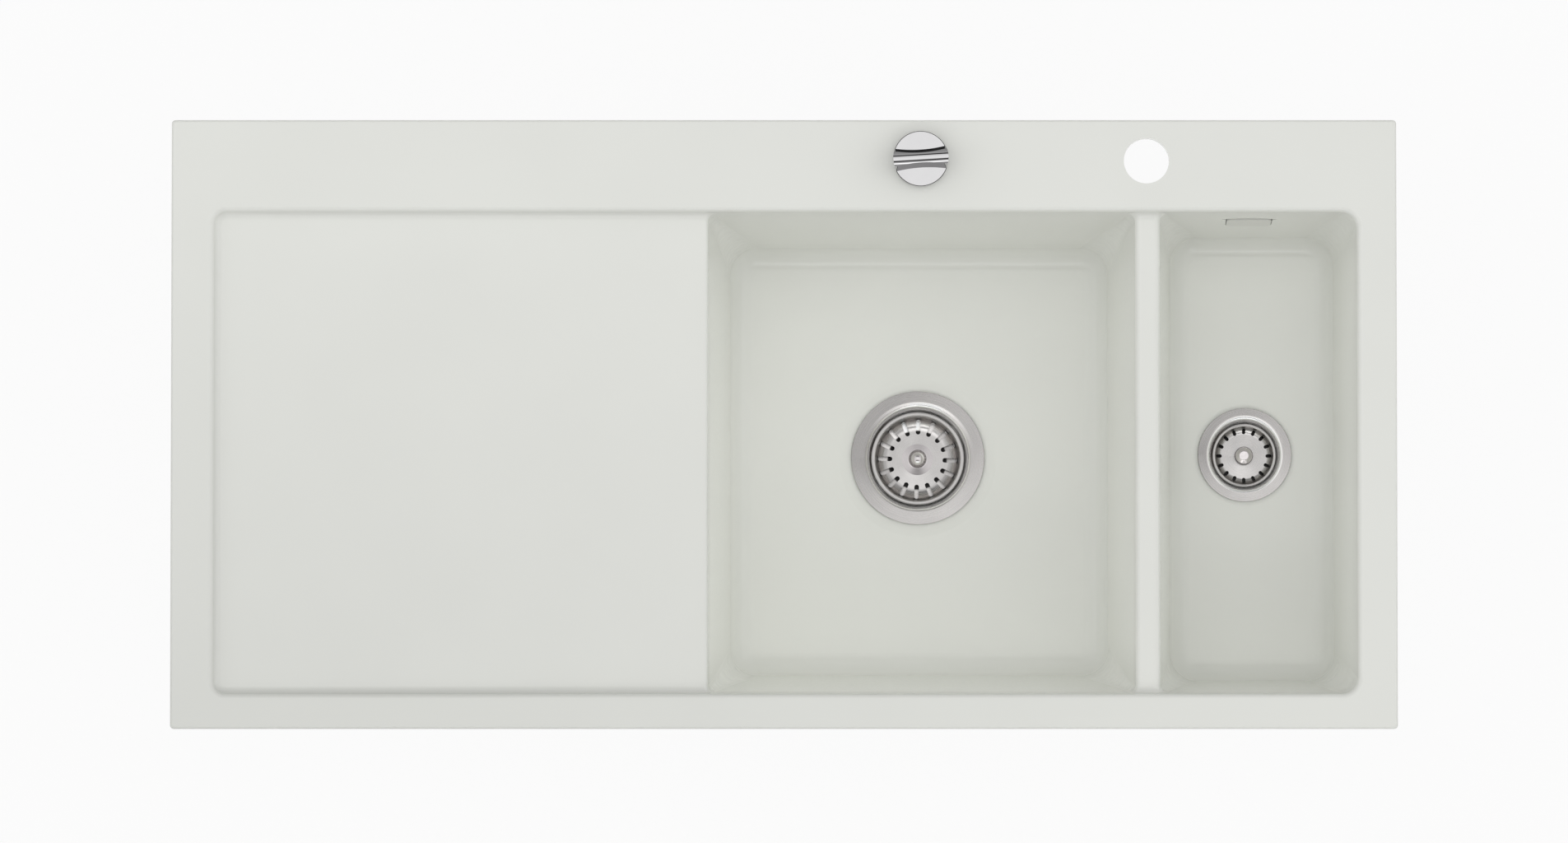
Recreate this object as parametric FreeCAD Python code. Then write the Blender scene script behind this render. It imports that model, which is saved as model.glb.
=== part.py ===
import FreeCAD, Part
import math
import os
from dataclasses import dataclass
from FreeCAD import Placement, Rotation, Vector

# A glazed ceramic kitchen sink with a drainboard on the left, a main bowl and a small bowl, its two basket
# wastes, the pop-up control on the back ledge, the overflow and the pipework that joins both wastes.
# Frame: origin at the centre of the rim's outline, in the plane of the worktop that the rim rests on.
# +X is right as the user stands at the sink, +Y is towards the wall behind the sink, +Z is up. Millimetres.

# ------------------------------------------------------------------ ceramic body
LENGTH = 1000.0  # rim, left to right
WIDTH = 497.0  # rim, front to back
RIM_HEIGHT = 12.0  # rim top above the worktop
OUTER_CORNER = 3.0  # plan radius of the rim's corners
RIM_EDGE_ROUND = 2.0  # rim's outer top edge
SEAT_WIDTH = 14.0  # flat band round the underside that lies on the worktop
LEDGE_UNDERSIDE = 1.0  # underside of the ledge and rim, above that band
LEFT_RIM = 34.5  # rim widths, measured to the line where wall and rim top would meet
RIGHT_RIM = 32.2
FRONT_RIM = 28.4
BACK_LEDGE = 74.7
RIM_ROUND = 4.0  # round-over from the rim top into the recess
DRAFT = 6.5  # degrees, lean of all bowl walls
BOARD_END_DRAFT = 12.0  # degrees, lean of the wall at the drainboard's closed end
SMALL_BOWL_LENGTH = 161.1  # along X at the divider's level
DIVIDER = 19.5  # thickness of the divider's top
MAIN_BOWL_LENGTH = 349.6
BOARD_DEPTH_LEFT = 7.0  # drainboard below the rim top, at its closed end
BOARD_DEPTH_RIGHT = 10.0  # and at the main bowl, so that it drains
MAIN_DEPTH = 185.0  # bowl floors below the rim top
SMALL_DEPTH = 133.0
BOARD_EDGE_ROUND = 3.0  # convex edge from the drainboard into the main bowl
DIVIDER_ROUND_LEFT = 4.0
DIVIDER_ROUND_RIGHT = 5.0
SIDE_CORNER = 6.0  # concave corner between the end walls and the front and back walls, at its top
FLOOR_CORNER = 24.0  # and where it meets a bowl's floor
MAIN_FLOOR_ROUND = 20.0  # concave round between walls and floor
SMALL_FLOOR_ROUND = 18.0
RECESS_CORNER = 10.0  # plan radius of the recess's corners at the rim
WALL = 11.0  # thickness of walls and drainboard
FLOOR_WALL = 12.0  # thickness of the bowl floors
OUTSIDE_CORNER = 16.0  # outer vertical corners of the bowls
OUTSIDE_FLOOR_ROUND = 26.0  # outer round between wall and floor
DISH_ANGLE = 8.0  # degrees, fall of the shallow dish round each waste
DRAIN_TO_BACK = 4.15  # wastes behind the recess's middle line
SMALL_DRAIN_SHIFT = -5.8  # small waste from its bowl's middle, along X
MAIN_DRAIN_SHIFT = -0.9
TAP_HOLE = 37.0
TAP_FROM_BACK = 33.4
TAP_SHIFT = -1.0  # tap hole from the divider's middle, along X
CUT_ABOVE = 40.0  # how far the recess and the holes are cut into the air

# ------------------------------------------------------------------ clearances
GAP = 0.3  # between pieces that move past each other or rest on each other
RUNNING = 0.06  # radial, shaft in its bore
SLIP = 0.2  # radial, pipe in its socket and loose fits between fixed pieces

# ------------------------------------------------------------------ control knob on the ledge
KNOB_FROM_BACK = 32.5
KNOB_DIAMETER = 45.0
KNOB_ANGLE = 3.5  # degrees, how far the grip bar stands turned at rest
KNOB_SKIRT = 7.7  # height of the round part under the grip bar
BAR_HEIGHT = 13.0  # grip bar above the round part
BAR_WAIST = 14.7  # bar's width at its middle, on the round part
BAR_END_WIDTH = 18.5  # and at its ends
BAR_TOP_WAIST = 7.6  # bar's width at its middle, at the top
BAR_FOOT_ROUND = 4.0
KNOB_EDGE = 0.8
KNOB_WALL = 3.5  # round the hollow under the knob
KNOB_CAVITY_ROOM = 1.3  # hollow above the bush's flange
RING_SET_BACK = 1.5  # base ring inside the knob's outline
BASE_RING_HEIGHT = 3.0
KNOB_GASKET = 1.0
BUSH = 20.0  # threaded bush through the ledge
BUSH_ROOM = 1.0  # round the bush in the ledge
BUSH_FLANGE = 28.0
BUSH_FLANGE_HEIGHT = 2.0
SPINDLE = 8.0
SPINDLE_IN_KNOB = 9.0  # how far the spindle reaches into the knob above its cavity
GRUB = 3.0
GRUB_LENGTH = 10.0
GRUB_RISE = 0.4  # grub screw above the knob's hollow
NUT_FLATS = 30.0
NUT_HEIGHT = 8.0
WASHER = 36.0
WASHER_HEIGHT = 2.0
QUARTER = 90.0  # degrees, turn of the knob

# ------------------------------------------------------------------ cable box under the ledge
BOX_LENGTH = 50.0  # X
BOX_WIDTH = 36.0  # Y
BOX_WALL = 3.0
BOX_HEIGHT = 22.0
BOX_COLLAR_HEIGHT = 8.0
BOX_BELOW_NUT = 4.0  # room between the lock nut and the box's collar
LID = 2.5
BOX_SCREW = 3.0
BOX_SCREW_HEAD = 5.5
BOX_SCREW_HEAD_HEIGHT = 2.0
BOX_SCREW_LENGTH = 12.0
SCREW_END = 1.0  # free depth past a screw's end
CRANK_DISC = 18.0
CRANK_DISC_HEIGHT = 4.0
DISC_SKIN = 1.0  # crank disc's floor under the spindle's end
CRANK_PIN = 4.0
CRANK_PIN_LENGTH = 8.0
YOKE_HEIGHT = 5.0
YOKE_WALL = 2.0

# ------------------------------------------------------------------ cable and its rods
ROD = 3.0
SHEATH = 6.0
SHEATH_BORE_DEPTH = 24.0
CABLE_SPAN = 100.0  # measure of the cable's sweep from the box round to the waste
ROD_IN_SHEATH = 16.0
GLAND_WALL = 4.0
GLAND_NUT_WALL = 3.0
GLAND_LENGTH = 12.0
LOWER_GLAND_SKIRT = 9.0
LOWER_GLAND_CAP = 5.0
SHEATH_IN_PORT = 12.0  # how far the cable's sheath reaches into the port

# ------------------------------------------------------------------ pop-up lift under the main basket
LIFT_ARM = 20.0  # rocker, pivot to tip
PULL_ARM = 8.0  # rocker, pivot to cable pin
SWING = 27.0  # degrees, rocker's whole swing, half each way from level
TIP = 6.0  # diameter of the rocker's round tip
ROCKER_HUB = 7.0
ROCKER_WIDTH = 6.0
ARM_THICKNESS = 4.0
ROCKER_PIN = 3.0
PULL_PIN = 4.0
LIFT_PIN = 6.0
PORT_BORE = 28.0
PORT_LENGTH = 50.0  # from the waste's axis

# ------------------------------------------------------------------ wastes
STEEL = 1.2  # strainer cups
BASKET_STEEL = 0.9
GASKET = 1.2
GASKET_EDGE = 1.5  # gasket inside the flange's edge
GASKET_INNER = 2.5  # and outside the ceramic's bore, clear of the cup's roll
BODY_GASKET = 3.0
BODY_WALL = 3.3  # outlet bodies and every pipe socket
BODY_ROUND = 4.0  # rounds between an outlet body's chamber, neck and socket
BODY_FLANGE_WIDTH = 7.0
BORE_PLAY = 1.2  # cup in the ceramic's bore
BASKET_PLAY = 0.7  # basket in the cup
CHAMBER_ROOM = 4.0  # chamber round the cup
CHAMBER_BELOW = 12.0  # and under it
CUP_ROLL = 3.2  # rounds of the cup: mouth, seat's two edges, floor
SEAT_EDGE = 1.0
SEAT_ROUND = 1.6
CUP_ROUND = 3.0
SEAT_FALL = 0.5  # how far the seat falls inwards
RIM_BEAD = 1.2  # round of the basket's rim
SCREW_HEAD = 17.0
SCREW_HEAD_HEIGHT = 2.0
SCREW_THREAD = 12.0
SCREW_LENGTH = 20.0
POST_WALL = 4.0
POST_LENGTH = 27.0
POST_RIB = 3.0
HUB_MARGIN = 1.0  # middle of the cup's floor round the screw's head
HEAD_ROOM = 2.0  # plug and seal round the screw's head
SEAL_EDGE = 0.9  # seal beyond the plug
SEAL_HEIGHT = 2.2
OPENING_LAP = 1.5  # plug beyond the opening in the cup's floor
GUIDE_LENGTH = 12.0  # small basket's guide below the cup's floor
SPOKES = 3
SPOKE_WIDTH = 5.0
SLOTS = 16
HOSE_PORT = 20.0
HOSE_PORT_WALL = 2.0
HOSE_PORT_LENGTH = 45.0


@dataclass(frozen=True)
class Waste:
    """Sizes of one basket waste. Diameters, depths below the bowl's floor, and widths on the radius."""

    name: str
    x: float
    y: float
    floor: float
    flange: float
    dish_margin: float  # ceramic dish beyond the flange
    mouth: float
    upper_taper: float  # how far the cup closes in, from its mouth to the seat
    seat_step: float
    seat_depth: float
    lower_taper: float
    cup_depth: float
    rim_lip: float  # basket's rim above its seat
    foot_play: float  # basket's foot in the cup
    basket_depth: float
    basket_bend: float
    slot_length: float
    slot_width: float
    slot_phase: float
    plug: float
    plug_plate: float
    neck: float  # height of the cone between the chamber and the socket
    port_below_neck: float
    below_port: float  # from the port's axis to the socket's mouth

    @property
    def dish(self):
        """Ceramic dish round the waste."""
        return self.flange + 2 * self.dish_margin

    @property
    def bore(self):
        """Hole in the ceramic."""
        return self.mouth + 2 * (STEEL + BORE_PLAY)

    @property
    def seat_outer(self):
        """Outer edge of the step that the basket's rim rests on."""
        return self.mouth - 2 * self.upper_taper

    @property
    def seat_inner(self):
        """Inner edge of that step."""
        return self.seat_outer - 2 * self.seat_step

    @property
    def cup_floor(self):
        """Inside of the cup at its floor."""
        return self.seat_inner - 2 * self.lower_taper

    @property
    def basket_rim(self):
        """Outer edge of the basket's rim."""
        return self.seat_outer - 2 * BASKET_PLAY

    @property
    def basket_throat(self):
        """Inside of the basket under its rim."""
        return self.seat_inner - 2 * (BASKET_STEEL + BASKET_PLAY)

    @property
    def basket_foot(self):
        """Inside of the basket at its floor."""
        return self.cup_floor - 2 * (BASKET_STEEL + self.foot_play)

    @property
    def seal(self):
        """Rubber seal under the basket."""
        return self.plug + 2 * SEAL_EDGE

    @property
    def body_flange(self):
        """Clamping flange of the outlet body."""
        return self.bore + 2 * BODY_FLANGE_WIDTH

    @property
    def chamber(self):
        """Inside of the outlet body's chamber."""
        return self.cup_floor + 2 * (STEEL + CHAMBER_ROOM)

    @property
    def chamber_depth(self):
        """Chamber's floor."""
        return self.cup_depth + CHAMBER_BELOW

    @property
    def neck_depth(self):
        """Top of the socket."""
        return self.chamber_depth + self.neck

    @property
    def port_drop(self):
        """Axis of the side port."""
        return self.neck_depth + self.port_below_neck

    @property
    def spigot_depth(self):
        """Mouth of the socket."""
        return self.port_drop + self.below_port


RIGHT_WALL_X = LENGTH / 2 - RIGHT_RIM
SMALL_LEFT_X = RIGHT_WALL_X - SMALL_BOWL_LENGTH
MAIN_RIGHT_X = SMALL_LEFT_X - DIVIDER
MAIN_LEFT_X = MAIN_RIGHT_X - MAIN_BOWL_LENGTH
LEFT_WALL_X = -LENGTH / 2 + LEFT_RIM
BACK_WALL_Y = WIDTH / 2 - BACK_LEDGE
FRONT_WALL_Y = -WIDTH / 2 + FRONT_RIM
BOARD_LEFT_Z = RIM_HEIGHT - BOARD_DEPTH_LEFT
BOARD_RIGHT_Z = RIM_HEIGHT - BOARD_DEPTH_RIGHT
DRAIN_Y = (BACK_WALL_Y + FRONT_WALL_Y) / 2 + DRAIN_TO_BACK
TAP_X = (MAIN_RIGHT_X + SMALL_LEFT_X) / 2 + TAP_SHIFT
TAP_Y = WIDTH / 2 - TAP_FROM_BACK

MAIN = Waste(
    name="main",
    x=(MAIN_LEFT_X + MAIN_RIGHT_X) / 2 + MAIN_DRAIN_SHIFT,
    y=DRAIN_Y,
    floor=RIM_HEIGHT - MAIN_DEPTH,
    flange=110.4,
    dish_margin=10.3,
    mouth=85.0,
    upper_taper=3.0,
    seat_step=2.5,
    seat_depth=11.5,
    lower_taper=0.8,
    cup_depth=38.0,
    rim_lip=2.2,
    foot_play=2.1,
    basket_depth=27.0,
    basket_bend=9.0,
    slot_length=12.2,
    slot_width=3.8,
    slot_phase=88.5,
    plug=39.0,
    plug_plate=4.0,
    neck=13.0,
    port_below_neck=17.0,
    below_port=42.0,
)
SMALL = Waste(
    name="small",
    x=(SMALL_LEFT_X + RIGHT_WALL_X) / 2 + SMALL_DRAIN_SHIFT,
    y=DRAIN_Y,
    floor=RIM_HEIGHT - SMALL_DEPTH,
    flange=76.8,
    dish_margin=3.6,
    mouth=58.4,
    upper_taper=2.1,
    seat_step=1.5,
    seat_depth=8.0,
    lower_taper=1.4,
    cup_depth=25.0,
    rim_lip=1.7,
    foot_play=0.6,
    basket_depth=16.5,
    basket_bend=5.0,
    slot_length=4.6,
    slot_width=2.8,
    slot_phase=90.0,
    plug=34.0,
    plug_plate=3.0,
    neck=10.0,
    port_below_neck=19.0,
    below_port=34.0,
)

# ------------------------------------------------------------------ grips of the two baskets
BALL = 15.2
BALL_SINK = 2.0  # ball over the neck's end
BALL_NECK = 6.0
BALL_NECK_HEIGHT = 4.5
BALL_DOME = 26.0
BALL_DOME_HEIGHT = 1.6
MUSHROOM = 15.0
MUSHROOM_HEIGHT = 5.0
MUSHROOM_NECK = 9.0
MUSHROOM_NECK_HEIGHT = 3.0
MUSHROOM_SKIRT = 2.0  # foot and rounded edge of the cap
MUSHROOM_EDGE = 0.6
GRIP_STEM = 5.0
GRIP_STEM_LENGTH = 3.4

# ------------------------------------------------------------------ overflow
OVERFLOW_DROP = 49.5  # cover's middle below the rim top
COVER_WIDTH = 36.5
COVER_HEIGHT = 27.0
COVER_THICKNESS = 1.6
COVER_PROUD = 0.6
COVER_CORNER = 4.0
COVER_GAP = 0.6
POCKET = 6.0  # depth of the front pocket in the wall
SLOT_WIDTH = 46.0
SLOT_RISE = 4.5
REAR_WIDTH = 31.0
REAR_HEIGHT = 20.0
FRAME = 2.0
WINDOW_WIDTH = 14.0
WINDOW_HEIGHT = 15.0
COVER_PIN = 3.0
OVERFLOW_SCREW = 3.6
OVERFLOW_SCREW_HEAD = 6.6
OVERFLOW_SCREW_HEAD_HEIGHT = 1.8
OVERFLOW_SCREW_LENGTH = 20.0
OVERFLOW_SCREW_SPREAD = 24.0
ELBOW_SCREW_FLOOR = 1.0
ELBOW_GASKET = 2.0
ELBOW_FLANGE_SIDE = 7.0  # flange beyond the elbow's box, at its sides
ELBOW_FLANGE_END = 3.0  # and above and below it
ELBOW_FLANGE = 3.0
ELBOW_WIDTH = 38.0
ELBOW_HEIGHT = 28.0
ELBOW_DEPTH = 24.0
ELBOW_WALL = 2.5
ELBOW_BOSS = 7.0
ELBOW_BOSS_LENGTH = 14.0
ELBOW_SPIGOT_LENGTH = 22.0
SPIGOT_SET_BACK = 0.4  # hose spigot behind the middle of the elbow's box
HOSE_WALL = 2.5
HOSE_OVERLAP = 18.0
HOSE_BEND = 80.0
CLIP = 8.0
CLIP_INSET = 4.0  # clip from the hose's end
CLIP_THICKNESS = 1.4

# ------------------------------------------------------------------ pipework
PIPE = 40.0
PIPE_WALL = 3.0
SOCKET_DEPTH = 18.0
SOCKET_SHOULDER = 4.0
BRANCH_DROP = 35.0  # connecting pipe's axis below the main socket's mouth
TEE_BRANCH = 46.0
TEE_TAIL = 45.0
TEE_BODY_WALL = 3.0  # tee's moulded body over the pipe's outside
TEE_SHOULDER = 1.0  # and above and below the branch
ELBOW_BEND = 34.0
ELBOW_ARM = 40.0
SEAL_LENGTH = 5.0
SEAL_SET_BACK = 0.5  # seal inside the socket's outline
PIPE_END = 1.0  # connecting pipe from the bottom of its socket
NUT_LIP = 3.0
NUT_GRIP = 12.0
NUT_WALL = 3.4
NUT_LUGS = 12
NUT_LUG = 2.2
NUT_LUG_PROUD = 1.8

# ------------------------------------------------------------------ sizes that follow from these
SPIGOT_BORE = PIPE + 2 * SLIP  # lower end of an outlet body and of every pipe socket
SOCKET_OUTER = SPIGOT_BORE + 2 * BODY_WALL
PORT_AXIS = MAIN.floor - MAIN.port_drop
PIVOT_Y = LIFT_ARM  # rocker's pivot from the main waste's axis
PIVOT_Z = -MAIN.port_drop - PULL_ARM
HALF_SWING = math.radians(SWING / 2)
PULL = 2 * PULL_ARM * math.sin(HALF_SWING)
HALF_QUARTER = math.radians(QUARTER / 2)
CRANK = PULL / (2 * math.sin(HALF_QUARTER))
PIN_SWAY = CRANK * (1 - math.cos(HALF_QUARTER))
UPPER_ROD_Y = CRANK - PIN_SWAY / 2
HUB = SCREW_HEAD + 2 * HUB_MARGIN
POST = SCREW_THREAD + 2 * POST_WALL
GLAND = SHEATH + 2 * GLAND_WALL
KNOB_X = MAIN.x
KNOB_Y = WIDTH / 2 - KNOB_FROM_BACK
KNOB_HOLE = BUSH + 2 * BUSH_ROOM
KNOB_CAVITY = KNOB_DIAMETER - 2 * KNOB_WALL
BASE_RING = KNOB_DIAMETER - 2 * RING_SET_BACK
RING_TOP = RIM_HEIGHT + KNOB_GASKET + BASE_RING_HEIGHT
KNOB_LOW = RING_TOP + GAP
KNOB_FLAT = KNOB_LOW + KNOB_SKIRT
KNOB_TOP = KNOB_FLAT + BAR_HEIGHT
CAVITY_TOP = RING_TOP + BUSH_FLANGE_HEIGHT + KNOB_CAVITY_ROOM
GRUB_Z = CAVITY_TOP + GRUB / 2 + GRUB_RISE
NUT_LOW = LEDGE_UNDERSIDE - WASHER_HEIGHT - NUT_HEIGHT
COLLAR_TOP = NUT_LOW - BOX_BELOW_NUT
BOX_TOP = COLLAR_TOP - BOX_COLLAR_HEIGHT
BOX_LOW = BOX_TOP - BOX_HEIGHT
BOX_COLLAR = BUSH + 2 * BOX_WALL
DISC_TOP = BOX_TOP - BOX_WALL - GAP
DISC_LOW = DISC_TOP - CRANK_DISC_HEIGHT
SPINDLE_LOW = DISC_LOW + DISC_SKIN
YOKE_TOP = DISC_LOW - GAP
CABLE_Z = YOKE_TOP - YOKE_HEIGHT / 2
OVERFLOW_Z = RIM_HEIGHT - OVERFLOW_DROP
COVER_BACK = COVER_THICKNESS - COVER_PROUD
COVER_PIN_END = POCKET - GAP
COVER_PIN_RISE = (COVER_HEIGHT + WINDOW_HEIGHT) / 4
ELBOW_FRONT = WALL + ELBOW_GASKET
ELBOW_FLANGE_WIDTH = ELBOW_WIDTH + 2 * ELBOW_FLANGE_SIDE
ELBOW_FLANGE_HEIGHT = ELBOW_HEIGHT + 2 * ELBOW_FLANGE_END
SPIGOT_Y = ELBOW_FRONT + ELBOW_DEPTH / 2 + SPIGOT_SET_BACK  # hose spigot's axis behind the wall's inner side
SPIGOT_END = -ELBOW_HEIGHT / 2 - ELBOW_SPIGOT_LENGTH
HOSE = HOSE_PORT + 2 * HOSE_WALL

DOWN = Vector(0, 0, -1)
RIGHT = Vector(1, 0, 0)
LEFT = Vector(-1, 0, 0)
MAIN_MOUTH = Vector(MAIN.x, MAIN.y, MAIN.floor - MAIN.spigot_depth)
SMALL_MOUTH = Vector(SMALL.x, SMALL.y, SMALL.floor - SMALL.spigot_depth)
BRANCH_Z = MAIN_MOUTH.z - BRANCH_DROP
TEE_BODY = PIPE + 2 * TEE_BODY_WALL
TEE_BODY_REACH = TEE_BODY / 2 + TEE_SHOULDER
TEE_MOUTH = Vector(MAIN.x + TEE_BRANCH, MAIN.y, BRANCH_Z)
ELBOW_MOUTH = Vector(SMALL.x - ELBOW_BEND - ELBOW_ARM, SMALL.y, BRANCH_Z)
JOINTS = {
    "main_slip": (MAIN_MOUTH, DOWN),
    "small_slip": (SMALL_MOUTH, DOWN),
    "tee_slip": (TEE_MOUTH, RIGHT),
    "elbow_slip": (ELBOW_MOUTH, LEFT),
}


# ================================================================== drawing helpers
def rounded_wire(points):
    """Closed wire in the XZ plane through (x, z) or (x, z, corner radius) points."""
    corners = [(Vector(p[0], 0, p[1]), p[2] if len(p) > 2 else 0.0) for p in points]
    spans = []
    for index, (corner, radius) in enumerate(corners):
        back = corners[index - 1][0] - corner
        ahead = corners[(index + 1) % len(corners)][0] - corner
        if radius <= 0:
            spans.append((corner, None, corner))
            continue
        back.normalize()
        ahead.normalize()
        angle = back.getAngle(ahead)
        reach = radius / math.tan(angle / 2)
        middle = (back + ahead).normalize()
        centre = corner + middle * (radius / math.sin(angle / 2))
        spans.append((corner + back * reach, centre - middle * radius, corner + ahead * reach))
    edges = []
    for index, (start, middle, end) in enumerate(spans):
        if middle is not None:
            edges.append(Part.Arc(start, middle, end).toShape())
        following = spans[(index + 1) % len(spans)][0]
        if (following - end).Length > 1e-6:
            edges.append(Part.makeLine(end, following))
    return Part.Wire(edges)


def turned(points, x=0.0, y=0.0, z=0.0):
    """Solid of revolution about the vertical through (x, y), from (radius, height, corner radius) points."""
    face = Part.Face(rounded_wire(points))
    solid = face.revolve(Vector(0, 0, 0), Vector(0, 0, 1), 360)
    if solid.Volume < 0:
        solid.reverse()
    solid.translate(Vector(x, y, z))
    return solid


def sheet_outline(path, thickness):
    """Outline of a sheet whose seen side runs along the path; the metal lies to the path's left."""
    count = len(path)
    normals = []
    for index in range(count - 1):
        dx = path[index + 1][0] - path[index][0]
        dz = path[index + 1][1] - path[index][1]
        length = math.hypot(dx, dz)
        normals.append((-dz / length, dx / length))
    far = []
    for index, point in enumerate(path):
        first = normals[max(index - 1, 0)]
        second = normals[min(index, count - 2)]
        scale = thickness / (1 + first[0] * second[0] + first[1] * second[1])
        x = point[0] + (first[0] + second[0]) * scale
        z = point[1] + (first[1] + second[1]) * scale
        turn = first[0] * second[1] - first[1] * second[0]
        radius = point[2] if len(point) > 2 else 0.0
        if radius > 0:
            radius = radius - thickness if turn > 0 else radius + thickness
        far.append((x, z, max(radius, 0.0)))
    return list(path) + far[::-1]


def cylinder(diameter, low, high, x=0.0, y=0.0):
    """Upright cylinder between two heights."""
    return Part.makeCylinder(diameter / 2, high - low, Vector(x, y, low))


def ring(outer, inner, low, high, x=0.0, y=0.0):
    """Upright ring between two heights."""
    return cylinder(outer, low, high, x, y).cut(cylinder(inner, low, high, x, y))


def rod(diameter, start, end):
    """Round bar between two points."""
    return Part.makeCylinder(diameter / 2, (end - start).Length, start, end - start)


def block(x0, x1, y0, y1, z0, z1):
    """Box between two corners."""
    return Part.makeBox(x1 - x0, y1 - y0, z1 - z0, Vector(x0, y0, z0))


def fuse(*solids):
    """One clean solid out of several that meet."""
    return solids[0].multiFuse(list(solids[1:])).removeSplitter()


def around(solid, count, x=0.0, y=0.0, start=0.0):
    """Copies of a solid, evenly turned about the vertical through (x, y)."""
    copies = []
    for index in range(count):
        copy = solid.copy()
        copy.rotate(Vector(x, y, 0), Vector(0, 0, 1), start + 360.0 * index / count)
        copies.append(copy)
    return copies


def hexagon(flats, low, high, x=0.0, y=0.0):
    """Upright hexagonal prism."""
    radius = flats / math.sqrt(3)
    corners = [
        Vector(x + radius * math.cos(math.radians(60 * k)), y + radius * math.sin(math.radians(60 * k)), low)
        for k in range(7)
    ]
    return Part.Face(Part.makePolygon(corners)).extrude(Vector(0, 0, high - low))


def round_edges(solid, radius, wanted):
    """Round every edge that the test picks."""
    edges = [edge for edge in solid.Edges if wanted(edge)]
    return solid.makeFillet(radius, edges) if edges and radius > 0 else solid


def fillet_each(solid, radius_of):
    """Round edges in one operation, so that the rounds run into each other.

    The radius is a number, or a pair for an edge whose round grows from its first end to its last.
    """
    document = FreeCAD.newDocument("rounding")
    base = document.addObject("Part::Feature", "base")
    base.Shape = solid
    rounded = document.addObject("Part::Fillet", "rounded")
    rounded.Base = base
    entries = []
    for number, edge in enumerate(solid.Edges, 1):
        radius = radius_of(edge)
        first, last = radius if isinstance(radius, tuple) else (radius, radius)
        if first > 0:
            entries.append((number, float(first), float(last)))
    rounded.Edges = entries
    document.recompute()
    result = rounded.Shape.copy()
    FreeCAD.closeDocument(document.Name)
    return result


def rounded_plate(width, height, corner, near, far):
    """Plate in the XZ plane, centred on the Y axis, between two depths."""
    x, z = width / 2, height / 2
    wire = rounded_wire([(-x, -z, corner), (x, -z, corner), (x, z, corner), (-x, z, corner)])
    plate = Part.Face(wire).extrude(Vector(0, far - near, 0))
    plate.translate(Vector(0, near, 0))
    return plate


def path_edges(points, radii=None):
    """Straight runs joined by tangent arcs; an arc's radius is given or is as large as its runs allow."""
    edges = []
    used = []
    start = points[0]
    for index in range(1, len(points) - 1):
        corner = points[index]
        back = points[index - 1] - corner
        ahead = points[index + 1] - corner
        turn = math.pi - back.getAngle(ahead)
        shorter = min(back.Length, ahead.Length)
        radius = radii[index - 1] if radii else 0.45 * shorter / math.tan(turn / 2)
        reach = radius * math.tan(turn / 2)
        back.normalize()
        ahead.normalize()
        middle = (back + ahead).normalize()
        centre = corner + middle * (radius / math.cos(turn / 2))
        first = corner + back * reach
        last = corner + ahead * reach
        edges.append(Part.makeLine(start, first))
        edges.append(Part.Arc(first, centre - middle * radius, last).toShape())
        used.append(round(radius, 1))
        start = last
    edges.append(Part.makeLine(start, points[-1]))
    return edges, used


def swept(diameter, edges):
    """Round section carried along a path of edges."""
    path = Part.Wire(edges)
    start = edges[0].Vertexes[0].Point
    direction = edges[0].tangentAt(edges[0].FirstParameter)
    circle = Part.Wire([Part.makeCircle(diameter / 2, start, direction)])
    return path.makePipeShell([circle], True, False)


def print_route(name, diameter, edges, radii, solid):
    """Print a route's length and radii, and its solid's volume over section times length."""
    length = sum(edge.Length for edge in edges)
    ratio = solid.Volume / (math.pi * diameter**2 / 4 * length)
    print(f"{name}: length {length:.1f}, radii {radii}, volume ratio {ratio:.4f}")


# ================================================================== ceramic
def wall_at(depth_line, z, draft=DRAFT):
    """How far a drafted wall has come inwards at height z from where it starts."""
    return (depth_line - z) * math.tan(math.radians(draft))


def recess_tool():
    """The air inside the sink: drainboard tray, main bowl, small bowl and the notch over the divider."""
    above = RIM_HEIGHT + CUT_ABOVE
    board_left = LEFT_WALL_X + wall_at(RIM_HEIGHT, BOARD_LEFT_Z, BOARD_END_DRAFT)
    main_in = wall_at(BOARD_RIGHT_Z, MAIN.floor)
    small_in = wall_at(BOARD_RIGHT_Z, SMALL.floor)
    outline = [
        (LEFT_WALL_X + wall_at(RIM_HEIGHT, above, BOARD_END_DRAFT), above),
        (board_left, BOARD_LEFT_Z),
        (MAIN_LEFT_X, BOARD_RIGHT_Z, BOARD_EDGE_ROUND),
        (MAIN_LEFT_X + main_in, MAIN.floor),
        (MAIN_RIGHT_X - main_in, MAIN.floor),
        (MAIN_RIGHT_X, BOARD_RIGHT_Z, DIVIDER_ROUND_LEFT),
        (SMALL_LEFT_X, BOARD_RIGHT_Z, DIVIDER_ROUND_RIGHT),
        (SMALL_LEFT_X + small_in, SMALL.floor),
        (RIGHT_WALL_X - wall_at(RIM_HEIGHT, SMALL.floor), SMALL.floor),
        (RIGHT_WALL_X - wall_at(RIM_HEIGHT, above), above),
    ]
    long_tool = Part.Face(rounded_wire(outline)).extrude(Vector(0, WIDTH, 0))
    long_tool.translate(Vector(0, -WIDTH / 2, 0))
    below = MAIN.floor - FLOOR_WALL
    side = [
        (FRONT_WALL_Y + wall_at(RIM_HEIGHT, above), above),
        (BACK_WALL_Y - wall_at(RIM_HEIGHT, above), above),
        (BACK_WALL_Y - wall_at(RIM_HEIGHT, below), below),
        (FRONT_WALL_Y + wall_at(RIM_HEIGHT, below), below),
    ]
    side_wire = Part.makePolygon([Vector(-LENGTH / 2, y, z) for y, z in side + side[:1]])
    return long_tool.common(Part.Face(side_wire).extrude(Vector(LENGTH, 0, 0)))


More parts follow.
